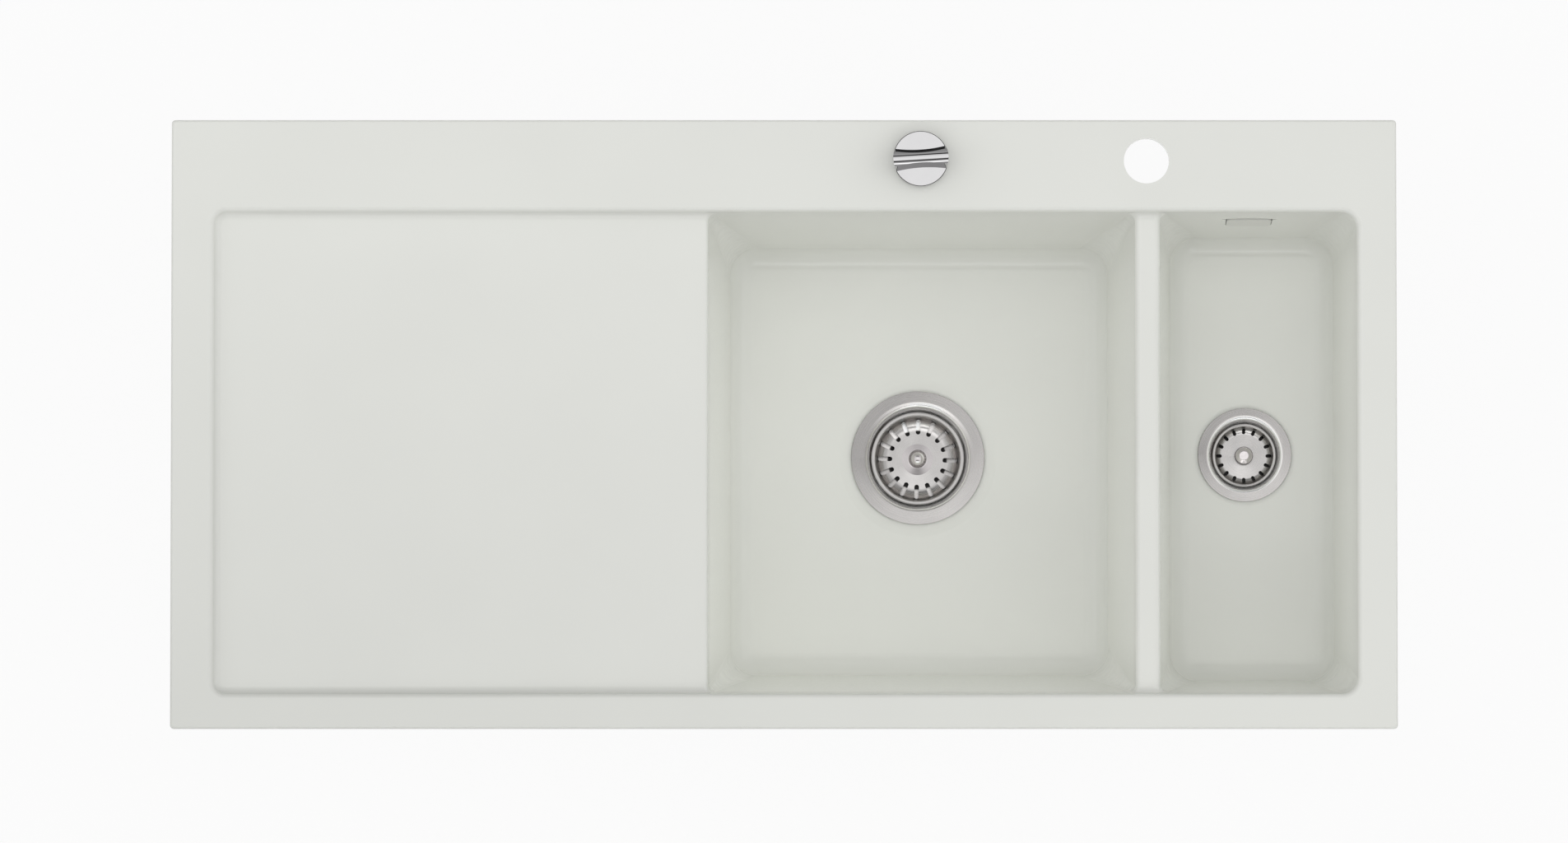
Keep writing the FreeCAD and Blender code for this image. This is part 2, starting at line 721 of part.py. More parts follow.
def fillet_recess(tool):
    """Round the concave edges of the recess in one operation, so that the rounds run into each other."""
    top = RIM_HEIGHT + CUT_ABOVE

    def on_side(point):
        back = BACK_WALL_Y - wall_at(RIM_HEIGHT, point.z)
        front = FRONT_WALL_Y + wall_at(RIM_HEIGHT, point.z)
        return min(abs(point.y - back), abs(point.y - front)) < 1e-4

    def on_floor(point):
        return min(abs(point.z - MAIN.floor), abs(point.z - SMALL.floor)) < 1e-4

    def radius(edge):
        middle = edge.valueAt((edge.FirstParameter + edge.LastParameter) / 2)
        points = [vertex.Point for vertex in edge.Vertexes] + [middle]
        if all(abs(point.z - top) < 1e-4 for point in points):
            return 0
        if all(abs(point.z - MAIN.floor) < 1e-4 for point in points):
            return MAIN_FLOOR_ROUND
        if all(abs(point.z - SMALL.floor) < 1e-4 for point in points):
            return SMALL_FLOOR_ROUND
        if all(on_side(point) for point in points):
            reaches_top = any(abs(point.z - top) < 1e-4 for point in points)
            upper = RECESS_CORNER if reaches_top else SIDE_CORNER
            ends = edge.valueAt(edge.FirstParameter), edge.valueAt(edge.LastParameter)
            return tuple(FLOOR_CORNER if on_floor(end) else upper for end in ends)
        if abs(middle.z - BOARD_LEFT_Z) < 1e-4 and middle.x < MAIN_LEFT_X:
            return SIDE_CORNER
        return 0

    return fillet_each(tool, radius)


def bowl_shell(left, right, floor, line):
    """Outside of one bowl: a drafted block with rounded corners, from the rim's underside down."""
    low = floor - FLOOR_WALL
    slant = WALL / math.cos(math.radians(DRAFT))

    def outline(z):
        side = wall_at(line, z) - slant
        end = wall_at(RIM_HEIGHT, z) - slant
        corners = [
            (left + side, FRONT_WALL_Y + end),
            (right - side, FRONT_WALL_Y + end),
            (right - side, BACK_WALL_Y - end),
            (left + side, BACK_WALL_Y - end),
        ]
        return Part.makePolygon([Vector(x, y, z) for x, y in corners + corners[:1]])

    shell = Part.makeLoft([outline(low), outline(RIM_HEIGHT / 2)], True, True)

    def upright(edge):
        heights = [vertex.Point.z for vertex in edge.Vertexes]
        return abs(heights[0] - heights[1]) > 1.0

    def radius(edge):
        if upright(edge):
            return OUTSIDE_CORNER
        return OUTSIDE_FLOOR_ROUND if edge.Vertexes[0].Point.z < low + 1e-4 else 0

    return fillet_each(shell, radius)


def dish_height(waste, diameter):
    """Height of the ceramic dish at a diameter, from the bowl's floor."""
    return -(waste.dish - diameter) / 2 * math.tan(math.radians(DISH_ANGLE))


def waste_hole(waste):
    """Dished recess and bore for one waste."""
    inner = dish_height(waste, waste.bore)
    above, below = FLOOR_WALL / 2, -FLOOR_WALL * 1.5
    outline = [(0, above), (waste.dish / 2, above), (waste.dish / 2, 0), (waste.bore / 2, inner)]
    outline += [(waste.bore / 2, below), (0, below)]
    return turned(outline, waste.x, waste.y, waste.floor)


def sink_body():
    """The ceramic casting."""
    slab = block(-LENGTH / 2, LENGTH / 2, -WIDTH / 2, WIDTH / 2, 0.0, RIM_HEIGHT)

    def upright(edge):
        return abs(edge.Vertexes[0].Point.z - edge.Vertexes[-1].Point.z) > 1.0

    slab = round_edges(slab, OUTER_CORNER, upright)
    slab = round_edges(slab, RIM_EDGE_ROUND, lambda e: min(v.Point.z for v in e.Vertexes) > RIM_HEIGHT - 1e-4)
    x, y = LENGTH / 2 - SEAT_WIDTH, WIDTH / 2 - SEAT_WIDTH
    slab = slab.cut(block(-x, x, -y, y, -1.0, LEDGE_UNDERSIDE))
    slant = WALL / math.cos(math.radians(DRAFT))
    end = wall_at(RIM_HEIGHT, LEDGE_UNDERSIDE) - slant
    tray = block(
        LEFT_WALL_X - WALL,
        MAIN_LEFT_X,
        FRONT_WALL_Y + end,
        BACK_WALL_Y - end,
        BOARD_RIGHT_Z - WALL,
        RIM_HEIGHT / 2,
    )
    tray = round_edges(tray, SIDE_CORNER, lambda e: upright(e) and e.Vertexes[0].Point.x < MAIN_LEFT_X - 1)
    main = bowl_shell(MAIN_LEFT_X, MAIN_RIGHT_X, MAIN.floor, BOARD_RIGHT_Z)
    small = bowl_shell(SMALL_LEFT_X, RIGHT_WALL_X, SMALL.floor, BOARD_RIGHT_Z)
    body = fuse(slab, tray, main, small)
    body = body.cut(fillet_recess(recess_tool()))

    def recess_rim(edge):
        points = [vertex.Point for vertex in edge.Vertexes]
        on_top = min(point.z for point in points) > RIM_HEIGHT - 1e-4
        inside = all(
            abs(point.x) < LENGTH / 2 - RIM_EDGE_ROUND - 1 and abs(point.y) < WIDTH / 2 - RIM_EDGE_ROUND - 1
            for point in points
        )
        return on_top and inside

    body = round_edges(body, RIM_ROUND, recess_rim)
    for waste in (MAIN, SMALL):
        body = body.cut(waste_hole(waste))
    tap = cylinder(TAP_HOLE, -CUT_ABOVE, RIM_HEIGHT + CUT_ABOVE, TAP_X, TAP_Y)
    knob = cylinder(KNOB_HOLE, -CUT_ABOVE, RIM_HEIGHT + CUT_ABOVE, KNOB_X, KNOB_Y)
    return body.cut(tap).cut(knob).cut(overflow_hole()).removeSplitter()


# ================================================================== basket wastes
def place(solid, waste):
    """Move a piece drawn about its own axis to its waste."""
    solid.translate(Vector(waste.x, waste.y, waste.floor))
    return solid


def flange_top(waste, diameter):
    """Height of the steel flange's upper side at a diameter, from the bowl's floor."""
    return dish_height(waste, diameter) + GASKET + STEEL / math.cos(math.radians(DISH_ANGLE))


def flange_gasket(waste):
    """Rubber ring between the steel flange and the ceramic dish."""
    outer, inner = waste.flange - 2 * GASKET_EDGE, waste.bore + 2 * GASKET_INNER
    outline = [
        (inner / 2, dish_height(waste, inner)),
        (outer / 2, dish_height(waste, outer)),
        (outer / 2, dish_height(waste, outer) + GASKET),
        (inner / 2, dish_height(waste, inner) + GASKET),
    ]
    return place(turned(outline), waste)


def strainer_cup(waste):
    """Pressed steel flange and cup with the spoked seat in its floor."""
    path = [
        (waste.flange / 2, flange_top(waste, waste.flange)),
        (waste.mouth / 2, flange_top(waste, waste.mouth), CUP_ROLL),
        (waste.seat_outer / 2, -waste.seat_depth, SEAT_EDGE),
        (waste.seat_inner / 2, -waste.seat_depth - SEAT_FALL, SEAT_ROUND),
        (waste.cup_floor / 2, -waste.cup_depth, CUP_ROUND),
        (0.0, -waste.cup_depth),
    ]
    cup = turned(sheet_outline(path, STEEL))
    low, high = -waste.cup_depth - 2 * STEEL, -waste.cup_depth + STEEL
    opening = ring(waste.plug - 2 * OPENING_LAP, HUB, low, high)
    for spoke in around(block(0, waste.plug, -SPOKE_WIDTH / 2, SPOKE_WIDTH / 2, low, high), SPOKES, start=30):
        opening = opening.cut(spoke)
    cup = cup.cut(opening).cut(cylinder(SCREW_THREAD + 2 * RUNNING, low, high))
    return place(cup, waste)


def basket(waste):
    """Pressed steel basket: rolled rim, steep wall, slots across the bend, flat floor."""
    rim_top = -waste.seat_depth + waste.rim_lip
    path = [
        (waste.basket_rim / 2, -waste.seat_depth + GAP),
        (waste.basket_rim / 2, rim_top, RIM_BEAD),
        (waste.basket_throat / 2, rim_top, RIM_BEAD),
        (waste.basket_foot / 2, -waste.basket_depth, waste.basket_bend),
        (0.0, -waste.basket_depth),
    ]
    shell = turned(sheet_outline(path, BASKET_STEEL))
    outer = waste.basket_foot / 2 - waste.slot_width / 2
    inner = outer - waste.slot_length + waste.slot_width
    low, high = -waste.basket_depth - 2 * BASKET_STEEL, rim_top - 2 * RIM_BEAD
    half = waste.slot_width / 2
    slot = fuse(
        block(inner, outer, -half, half, low, high),
        cylinder(waste.slot_width, low, high, inner),
        cylinder(waste.slot_width, low, high, outer),
    )
    for copy in around(slot, SLOTS, start=waste.slot_phase):
        shell = shell.cut(copy)
    stem_hole = cylinder(GRIP_STEM + 2 * RUNNING, low, -waste.basket_depth + 1)
    return place(shell.cut(stem_hole), waste)


def plug_carrier(waste):
    """Plastic disc screwed under the basket; it carries the seal and rests on the lift pin."""
    top = -waste.basket_depth - BASKET_STEEL
    low = seal_top(waste)
    hollow = SCREW_HEAD / 2 + HEAD_ROOM
    outline = [
        (0.0, top),
        (waste.plug / 2, top),
        (waste.plug / 2, low),
        (hollow, low),
        (hollow, plate_bottom(waste)),
        (0.0, plate_bottom(waste)),
    ]
    carrier = turned(outline)
    carrier = carrier.cut(cylinder(GRIP_STEM, top - GRIP_STEM_LENGTH + BASKET_STEEL, top))
    if waste is SMALL:
        guide = cylinder(LIFT_PIN, -waste.cup_depth - GUIDE_LENGTH, plate_bottom(waste))
        carrier = fuse(carrier, guide)
    return place(carrier, waste)


def seal_top(waste):
    """Height of the plug seal's upper face, from the bowl's floor."""
    return -waste.cup_depth + GAP + SEAL_HEIGHT


def plate_bottom(waste):
    """Underside of the plug carrier's middle plate."""
    return -waste.basket_depth - BASKET_STEEL - waste.plug_plate


def plug_seal(waste):
    """Rubber ring that closes the cup's floor opening."""
    top = seal_top(waste)
    return place(ring(waste.seal, SCREW_HEAD + 2 * HEAD_ROOM, top - SEAL_HEIGHT, top), waste)


def fixing_screw(waste):
    """Hollow screw that clamps the cup to the outlet body; the lift pin or guide runs through it."""
    under = -waste.cup_depth
    head = cylinder(SCREW_HEAD, under, under + SCREW_HEAD_HEIGHT)
    thread = cylinder(SCREW_THREAD, under - SCREW_LENGTH, under)
    bore = cylinder(LIFT_PIN + 2 * RUNNING, under - SCREW_LENGTH - 1, under + SCREW_HEAD_HEIGHT + 1)
    return place(fuse(head, thread).cut(bore), waste)


def body_gasket(waste):
    """Rubber ring between the ceramic's underside and the outlet body."""
    return place(ring(waste.body_flange, waste.bore, -FLOOR_WALL - BODY_GASKET, -FLOOR_WALL), waste)


def outlet_body(waste):
    """Moulded outlet body: clamping flange, chamber with the threaded post, neck and socket."""
    top = -FLOOR_WALL - BODY_GASKET
    path = [
        (waste.body_flange / 2, top),
        (waste.chamber / 2, top),
        (waste.chamber / 2, -waste.chamber_depth, BODY_ROUND),
        (SPIGOT_BORE / 2, -waste.neck_depth, BODY_ROUND),
        (SPIGOT_BORE / 2, -waste.spigot_depth),
    ]
    shell = turned(sheet_outline(path, BODY_WALL))
    post_top = -waste.cup_depth - STEEL
    rib_low = max(-waste.chamber_depth, post_top - POST_LENGTH)
    reach = waste.chamber / 2 + BODY_WALL / 2
    ribs = around(block(0, reach, -POST_RIB / 2, POST_RIB / 2, rib_low, post_top - 1.0), 4, start=45)
    post = cylinder(POST, post_top - POST_LENGTH, post_top)
    if waste is MAIN:
        port, port_bore, length = PORT_BORE + 2 * BODY_WALL, PORT_BORE, PORT_LENGTH
    else:
        port, port_bore, length = HOSE_PORT, HOSE_PORT - 2 * HOSE_PORT_WALL, HOSE_PORT_LENGTH
    middle = Vector(0, 0, -waste.port_drop)
    root = middle + Vector(0, SPIGOT_BORE / 2 - BODY_WALL, 0)
    end = middle + Vector(0, length, 0)
    body = fuse(shell, post, rod(port, root, end), *ribs)
    body = body.cut(cylinder(SPIGOT_BORE, -waste.spigot_depth, -waste.neck_depth - BODY_ROUND / 2))
    body = body.cut(cylinder(SCREW_THREAD, post_top - SCREW_LENGTH - SCREW_END, post_top + 1))
    body = body.cut(cylinder(LIFT_PIN + 2 * RUNNING, post_top - POST_LENGTH - 1, post_top))
    body = body.cut(rod(port_bore, middle, end))
    if waste is MAIN:
        pivot = rod(ROCKER_PIN, Vector(-PORT_BORE, PIVOT_Y, PIVOT_Z), Vector(PORT_BORE, PIVOT_Y, PIVOT_Z))
        body = body.cut(pivot)
    return place(body, waste)


# ================================================================== grips
def main_basket_knob():
    """Polished ball on a neck and a low dome, with the stem that screws into the plug carrier."""
    floor = -MAIN.basket_depth
    ball_centre = floor + BALL_DOME_HEIGHT + BALL_NECK_HEIGHT + BALL / 2 - BALL_SINK
    dome_top = floor + BALL_DOME_HEIGHT
    dome = turned([(0, floor), (BALL_DOME / 2, floor), (BALL_NECK / 2, dome_top), (0, dome_top)])
    neck = cylinder(BALL_NECK, floor, ball_centre)
    ball = Part.makeSphere(BALL / 2, Vector(0, 0, ball_centre))
    stem = cylinder(GRIP_STEM, floor - GRIP_STEM_LENGTH, floor)
    return place(fuse(dome, neck, ball, stem), MAIN)


def small_basket_knob():
    """Domed mushroom grip with a grooved neck."""
    floor = -SMALL.basket_depth
    cap_low = floor + MUSHROOM_NECK_HEIGHT
    top = cap_low + MUSHROOM_HEIGHT
    grip = turned(
        [
            (0, floor),
            (MUSHROOM_NECK / 2 + MUSHROOM_SKIRT, floor),
            (MUSHROOM_NECK / 2, floor + 2 * MUSHROOM_EDGE),
            (MUSHROOM_NECK / 2, cap_low),
            (MUSHROOM / 2, cap_low + MUSHROOM_EDGE, MUSHROOM_EDGE),
            (MUSHROOM / 2, top - MUSHROOM_SKIRT, MUSHROOM_SKIRT),
            (MUSHROOM / 4, top, MUSHROOM_SKIRT),
            (0, top),
        ]
    )
    stem = cylinder(GRIP_STEM, floor - GRIP_STEM_LENGTH, floor)
    return place(fuse(grip, stem), SMALL)


# ================================================================== pop-up lift
def rocker_point(arm_y, arm_z):
    """A point of the rocker at rest, from its place when the lift arm is level."""
    cos, sin = math.cos(HALF_SWING), math.sin(HALF_SWING)
    return Vector(0, PIVOT_Y + arm_y * cos - arm_z * sin, PIVOT_Z + arm_y * sin + arm_z * cos)


def lift_pin():
    """Steel pin from the plug carrier down to the rocker's tip."""
    tip = rocker_point(-LIFT_ARM, 0)
    low = tip.z + TIP / 2 + GAP
    return place(cylinder(LIFT_PIN, low, plate_bottom(MAIN) - GAP), MAIN)


def rocker_lever():
    """Bell crank: a level arm under the lift pin, a short upright arm for the cable."""
    half = ROCKER_WIDTH / 2
    hub = rod(ROCKER_HUB, Vector(-half, 0, 0), Vector(half, 0, 0))
    tip = rod(TIP, Vector(-half, -LIFT_ARM, 0), Vector(half, -LIFT_ARM, 0))
    arm = block(-half, half, -LIFT_ARM, 0, -ARM_THICKNESS / 2, ARM_THICKNESS / 2)
    pull = rod(PULL_PIN, Vector(-half, 0, PULL_ARM), Vector(half, 0, PULL_ARM))
    web = block(-half, half, -PULL_PIN / 4, PULL_PIN / 4, 0, PULL_ARM)
    lever = fuse(hub, tip, arm, pull, web)
    lever = lever.cut(rod(ROCKER_PIN + 2 * RUNNING, Vector(-half - 1, 0, 0), Vector(half + 1, 0, 0)))
    lever.rotate(Vector(0, 0, 0), Vector(1, 0, 0), SWING / 2)
    lever.translate(Vector(0, PIVOT_Y, PIVOT_Z))
    return place(lever, MAIN)


def rocker_pivot():
    """Pin across the cable port that the rocker turns on."""
    reach = PORT_BORE / 2 + BODY_WALL
    return place(rod(ROCKER_PIN, Vector(-reach, PIVOT_Y, PIVOT_Z), Vector(reach, PIVOT_Y, PIVOT_Z)), MAIN)


def cable_rod_lower():
    """Fork over the rocker's cable pin, and the rod that runs into the sheath."""
    start = rocker_point(0, PULL_ARM).y
    slot = PULL_PIN / 2 + GAP
    half = slot + YOKE_WALL
    height = PULL_PIN / 2 + YOKE_WALL
    fork = block(-ROCKER_WIDTH / 2, ROCKER_WIDTH / 2, start - half, start + half, -PULL_PIN, height)
    fork = fork.cut(block(-ROCKER_WIDTH, ROCKER_WIDTH, start - slot, start + slot, -PULL_PIN - 1, slot))
    inner_end = PORT_LENGTH - SHEATH_IN_PORT
    bar = rod(ROD, Vector(0, start + slot, 0), Vector(0, inner_end + ROD_IN_SHEATH, 0))
    piece = fuse(fork, bar)
    piece.translate(Vector(0, 0, -MAIN.port_drop))
    return place(piece, MAIN)


def cable_gland_lower():
    """Cap screwed over the port; it holds the sheath."""
    outer = PORT_BORE + 2 * BODY_WALL
    low, high = PORT_LENGTH - LOWER_GLAND_SKIRT, PORT_LENGTH + LOWER_GLAND_CAP
    cap = rod(outer + 2 * GLAND_NUT_WALL, Vector(0, low, 0), Vector(0, high, 0))
    cap = cap.cut(rod(outer, Vector(0, low, 0), Vector(0, PORT_LENGTH, 0)))
    nose = rod(GLAND, Vector(0, PORT_LENGTH, 0), Vector(0, high + GLAND_LENGTH, 0))
    cap = fuse(cap, nose).cut(rod(SHEATH, Vector(0, low, 0), Vector(0, high + GLAND_LENGTH + 1, 0)))
    cap.translate(Vector(0, 0, -MAIN.port_drop))
    return place(cap, MAIN)


# ================================================================== control on the ledge
def at_knob(solid):
    """Move a piece drawn about the knob's axis to its place."""
    solid.translate(Vector(KNOB_X, KNOB_Y, 0))
    return solid


def finger_recess():
    """Cut for the fingers on one side of the grip bar: a large shallow cone with a rounded foot."""
    ends = KNOB_DIAMETER / 2 * 0.92
    belly = (BAR_END_WIDTH - BAR_WAIST) / 2
    reach = ends**2 / (2 * belly)
    axis = BAR_WAIST / 2 + reach
    spread = (BAR_WAIST - BAR_TOP_WAIST) / 2
    top = KNOB_TOP + 1.0
    slope = spread / BAR_HEIGHT
    outline = [
        (0, KNOB_FLAT),
        (reach, KNOB_FLAT, BAR_FOOT_ROUND),
        (reach + slope * (top - KNOB_FLAT), top),
        (0, top),
    ]
    return turned(outline, 0, axis)


def control_knob():
    """Round knob with a waisted grip bar between two finger recesses."""
    knob = cylinder(KNOB_DIAMETER, KNOB_LOW, KNOB_TOP)
    recess = finger_recess()
    for cut in around(recess, 2):
        knob = knob.cut(cut)

    def rim(edge):
        return edge.Curve.TypeId == "Part::GeomCircle" and abs(edge.Curve.Radius - KNOB_DIAMETER / 2) < 1e-4

    knob = knob.cut(cylinder(KNOB_CAVITY, KNOB_LOW - 1, CAVITY_TOP))
    knob = round_edges(knob, KNOB_EDGE, lambda e: rim(e) and abs(e.Vertexes[0].Point.z - KNOB_FLAT) < 1e-4)
    knob = knob.cut(cylinder(SPINDLE, CAVITY_TOP - 1, CAVITY_TOP + SPINDLE_IN_KNOB))
    knob = knob.cut(rod(GRUB, Vector(0, 0, GRUB_Z), Vector(0, KNOB_DIAMETER, GRUB_Z)))
    knob.rotate(Vector(0, 0, 0), Vector(0, 0, 1), KNOB_ANGLE)
    return at_knob(knob)


def knob_grub_screw():
    """Screw in the knob's back that locks it on the spindle."""
    screw = rod(GRUB, Vector(0, SPINDLE / 2, GRUB_Z), Vector(0, SPINDLE / 2 + GRUB_LENGTH, GRUB_Z))
    screw.rotate(Vector(0, 0, 0), Vector(0, 0, 1), KNOB_ANGLE)
    return at_knob(screw)


def knob_gasket():
    """Rubber ring between the ledge and the base ring."""
    return at_knob(ring(BASE_RING - 2.0, KNOB_HOLE, RIM_HEIGHT, RIM_HEIGHT + KNOB_GASKET))


def knob_base_ring():
    """Chromed ring that the knob turns over."""
    low = RIM_HEIGHT + KNOB_GASKET
    return at_knob(ring(BASE_RING, BUSH + 2 * SLIP, low, RING_TOP))


def knob_bush():
    """Threaded bush: flange over the base ring, sleeve down through the ledge into the cable box."""
    flange = cylinder(BUSH_FLANGE, RING_TOP, RING_TOP + BUSH_FLANGE_HEIGHT)
    sleeve = cylinder(BUSH, BOX_TOP - BOX_WALL, RING_TOP)
    bore = cylinder(SPINDLE + 2 * RUNNING, BOX_TOP - BOX_WALL - 1, RING_TOP + BUSH_FLANGE_HEIGHT + 1)
    return at_knob(fuse(flange, sleeve).cut(bore))


def knob_washer():
    """Washer under the ledge."""
    return at_knob(ring(WASHER, BUSH + 2 * SLIP, LEDGE_UNDERSIDE - WASHER_HEIGHT, LEDGE_UNDERSIDE))


def knob_lock_nut():
    """Hexagon nut that clamps the bush to the ledge."""
    nut = hexagon(NUT_FLATS, NUT_LOW, NUT_LOW + NUT_HEIGHT)
    return at_knob(nut.cut(cylinder(BUSH, NUT_LOW - 1, NUT_LOW + NUT_HEIGHT + 1)))


def knob_spindle():
    """Spindle from the knob down to the crank disc."""
    return at_knob(cylinder(SPINDLE, SPINDLE_LOW, CAVITY_TOP + SPINDLE_IN_KNOB))


def crank_disc():
    """Disc on the spindle's lower end with the eccentric pin that drives the cable."""
    disc = cylinder(CRANK_DISC, DISC_LOW, DISC_TOP)
    angle = math.radians(90 + QUARTER / 2)
    x, y = CRANK * math.cos(angle), CRANK * math.sin(angle)
    pin = cylinder(CRANK_PIN, DISC_LOW - CRANK_PIN_LENGTH, DISC_LOW, x, y)
    return at_knob(fuse(disc, pin).cut(cylinder(SPINDLE, SPINDLE_LOW, DISC_TOP)))


def cable_rod_upper():
    """Slotted yoke on the crank's pin, and the rod that runs into the sheath."""
    pin_x = -CRANK * math.sin(HALF_QUARTER)
    slot = CRANK_PIN / 2 + GAP
    long_half = slot + PIN_SWAY / 2
    half_x = slot + YOKE_WALL
    half_y = long_half + YOKE_WALL
    low, high = YOKE_TOP - YOKE_HEIGHT, YOKE_TOP
    yoke = block(pin_x - half_x, pin_x + half_x, UPPER_ROD_Y - half_y, UPPER_ROD_Y + half_y, low, high)
    yoke = yoke.cut(
        block(pin_x - slot, pin_x + slot, UPPER_ROD_Y - long_half, UPPER_ROD_Y + long_half, low - 1, high + 1)
    )
    end = -BOX_LENGTH / 2 - GLAND_LENGTH / 2 - ROD_IN_SHEATH
    bar = rod(ROD, Vector(pin_x - slot, UPPER_ROD_Y, CABLE_Z), Vector(end, UPPER_ROD_Y, CABLE_Z))
    return at_knob(fuse(yoke, bar))


def cable_box():
    """Housing clamped on the bush; open below, closed by its lid."""
    x, y = BOX_LENGTH / 2, BOX_WIDTH / 2
    shell = block(-x, x, -y, y, BOX_LOW, BOX_TOP)
    hollow = block(-x + BOX_WALL, x - BOX_WALL, -y + BOX_WALL, y - BOX_WALL, BOX_LOW - 1, BOX_TOP - BOX_WALL)
    collar = cylinder(BOX_COLLAR, BOX_TOP, COLLAR_TOP)
    corners = box_screw_places()
    bosses = [cylinder(2 * BOX_SCREW, BOX_LOW, BOX_TOP - BOX_WALL / 2, cx, cy) for cx, cy in corners]
    box = fuse(fuse(shell, collar).cut(hollow), *bosses)
    box = box.cut(cylinder(BUSH, BOX_TOP - BOX_WALL, COLLAR_TOP))
    for cx, cy in corners:
        box = box.cut(cylinder(BOX_SCREW, BOX_LOW, BOX_LOW - LID + BOX_SCREW_LENGTH + SCREW_END, cx, cy))
    mouth = Vector(-x - GLAND_LENGTH, UPPER_ROD_Y, CABLE_Z)
    gland = rod(GLAND, mouth, Vector(-x, UPPER_ROD_Y, CABLE_Z))
    passage = rod(SHEATH, mouth, Vector(-x / 2, UPPER_ROD_Y, CABLE_Z))
    return at_knob(fuse(box, gland).cut(passage))


def box_screw_places():
    """Corners of the cable box that hold its lid's screws."""
    inset = BOX_WALL + BOX_SCREW / 2
    x, y = BOX_LENGTH / 2 - inset, BOX_WIDTH / 2 - inset
    return [(-x, -y), (x, -y), (x, y), (-x, y)]


def cable_box_lid():
    """Flat lid under the cable box."""
    x, y = BOX_LENGTH / 2, BOX_WIDTH / 2
    lid = block(-x, x, -y, y, BOX_LOW - LID, BOX_LOW)
    for cx, cy in box_screw_places():
        lid = lid.cut(cylinder(BOX_SCREW, BOX_LOW - LID - 1, BOX_LOW + 1, cx, cy))
    return at_knob(lid)


def cable_box_screws():
    """Four screws that hold the lid."""
    screws = []
    for cx, cy in box_screw_places():
        head = cylinder(BOX_SCREW_HEAD, BOX_LOW - LID - BOX_SCREW_HEAD_HEIGHT, BOX_LOW - LID, cx, cy)
        shank = cylinder(BOX_SCREW, BOX_LOW - LID, BOX_LOW - LID + BOX_SCREW_LENGTH, cx, cy)
        screws.append(fuse(head, shank))
    return at_knob(Part.makeCompound(screws))


def cable_gland_upper():
    """Cap nut on the cable box's gland; it grips the sheath."""
    y, z = UPPER_ROD_Y, CABLE_Z
    near = -BOX_LENGTH / 2 - GLAND_LENGTH / 3
    far = -BOX_LENGTH / 2 - GLAND_LENGTH - LOWER_GLAND_CAP
    nut = rod(GLAND + 2 * GLAND_NUT_WALL, Vector(near, y, z), Vector(far, y, z))
    nut = nut.cut(rod(GLAND, Vector(near, y, z), Vector(-BOX_LENGTH / 2 - GLAND_LENGTH, y, z)))
    return at_knob(nut.cut(rod(SHEATH, Vector(near, y, z), Vector(far - 1, y, z))))


def cable_route():
    """Points of the Bowden cable, from inside the cable box's gland to inside the waste's port."""
    start = Vector(KNOB_X - BOX_LENGTH / 2 - GLAND_LENGTH / 2, KNOB_Y + UPPER_ROD_Y, CABLE_Z)
    end = Vector(MAIN.x, MAIN.y + PORT_LENGTH - SHEATH_IN_PORT, PORT_AXIS)
    return [
        start,
        start + Vector(-0.83, 0, 0) * CABLE_SPAN,
        start + Vector(-1.32, 0.12, -0.66) * CABLE_SPAN,
        start + Vector(-1.09, 0.07, -1.46) * CABLE_SPAN,
        end + Vector(-0.80, 1.71, 0.29) * CABLE_SPAN,
        end + Vector(-0.33, 1.28, 0.08) * CABLE_SPAN,
        end + Vector(0, 0.68, 0) * CABLE_SPAN,
        end,
    ]


def bowden_sheath():
    """Outer sheath of the cable, with a bore at each end for the rods."""
    points = cable_route()
    edges, radii = path_edges(points)
    sheath = swept(SHEATH, edges)
    print_route("cable", SHEATH, edges, radii, sheath)
    for tip, after in ((points[0], points[1]), (points[-1], points[-2])):
        direction = (after - tip).normalize()
        sheath = sheath.cut(rod(ROD + 2 * RUNNING, tip, tip + direction * SHEATH_BORE_DEPTH))
    return sheath


# ================================================================== overflow
def wall_placement():
    """Place of the overflow's middle on the small bowl's back wall, leaning with it."""
    y = BACK_WALL_Y - wall_at(RIM_HEIGHT, OVERFLOW_Z)
    return Placement(Vector(SMALL.x, y, OVERFLOW_Z), Rotation(Vector(1, 0, 0), -DRAFT))


def on_wall(solid):
    """Move a piece drawn on a vertical wall (XZ plane, +Y into the wall) to the small bowl's back wall."""
    solid.Placement = wall_placement().multiply(solid.Placement)
    return solid


def overflow_hole():
    """Opening in the wall: front pocket for the cover, wide slot above it, smaller hole behind."""
    width, height = COVER_WIDTH + 2 * COVER_GAP, COVER_HEIGHT + 2 * COVER_GAP
    pocket = rounded_plate(width, height, COVER_CORNER, -WALL, POCKET)
    rear = rounded_plate(REAR_WIDTH, REAR_HEIGHT, COVER_CORNER, 0, 2 * WALL)
    base = height / 2 - COVER_CORNER
    top = height / 2 + SLOT_RISE
    ends = SLOT_WIDTH / 2
    arch = Part.Arc(Vector(-ends, 0, height / 2), Vector(0, 0, top), Vector(ends, 0, height / 2)).toShape()
    lines = [
        Part.makeLine(Vector(ends, 0, height / 2), Vector(width / 2, 0, base)),
        Part.makeLine(Vector(width / 2, 0, base), Vector(-width / 2, 0, base)),
        Part.makeLine(Vector(-width / 2, 0, base), Vector(-ends, 0, height / 2)),
    ]
    slot = Part.Face(Part.Wire([arch] + lines)).extrude(Vector(0, WALL + POCKET, 0))
    slot.translate(Vector(0, -WALL, 0))
    return on_wall(fuse(pocket, rear, slot))


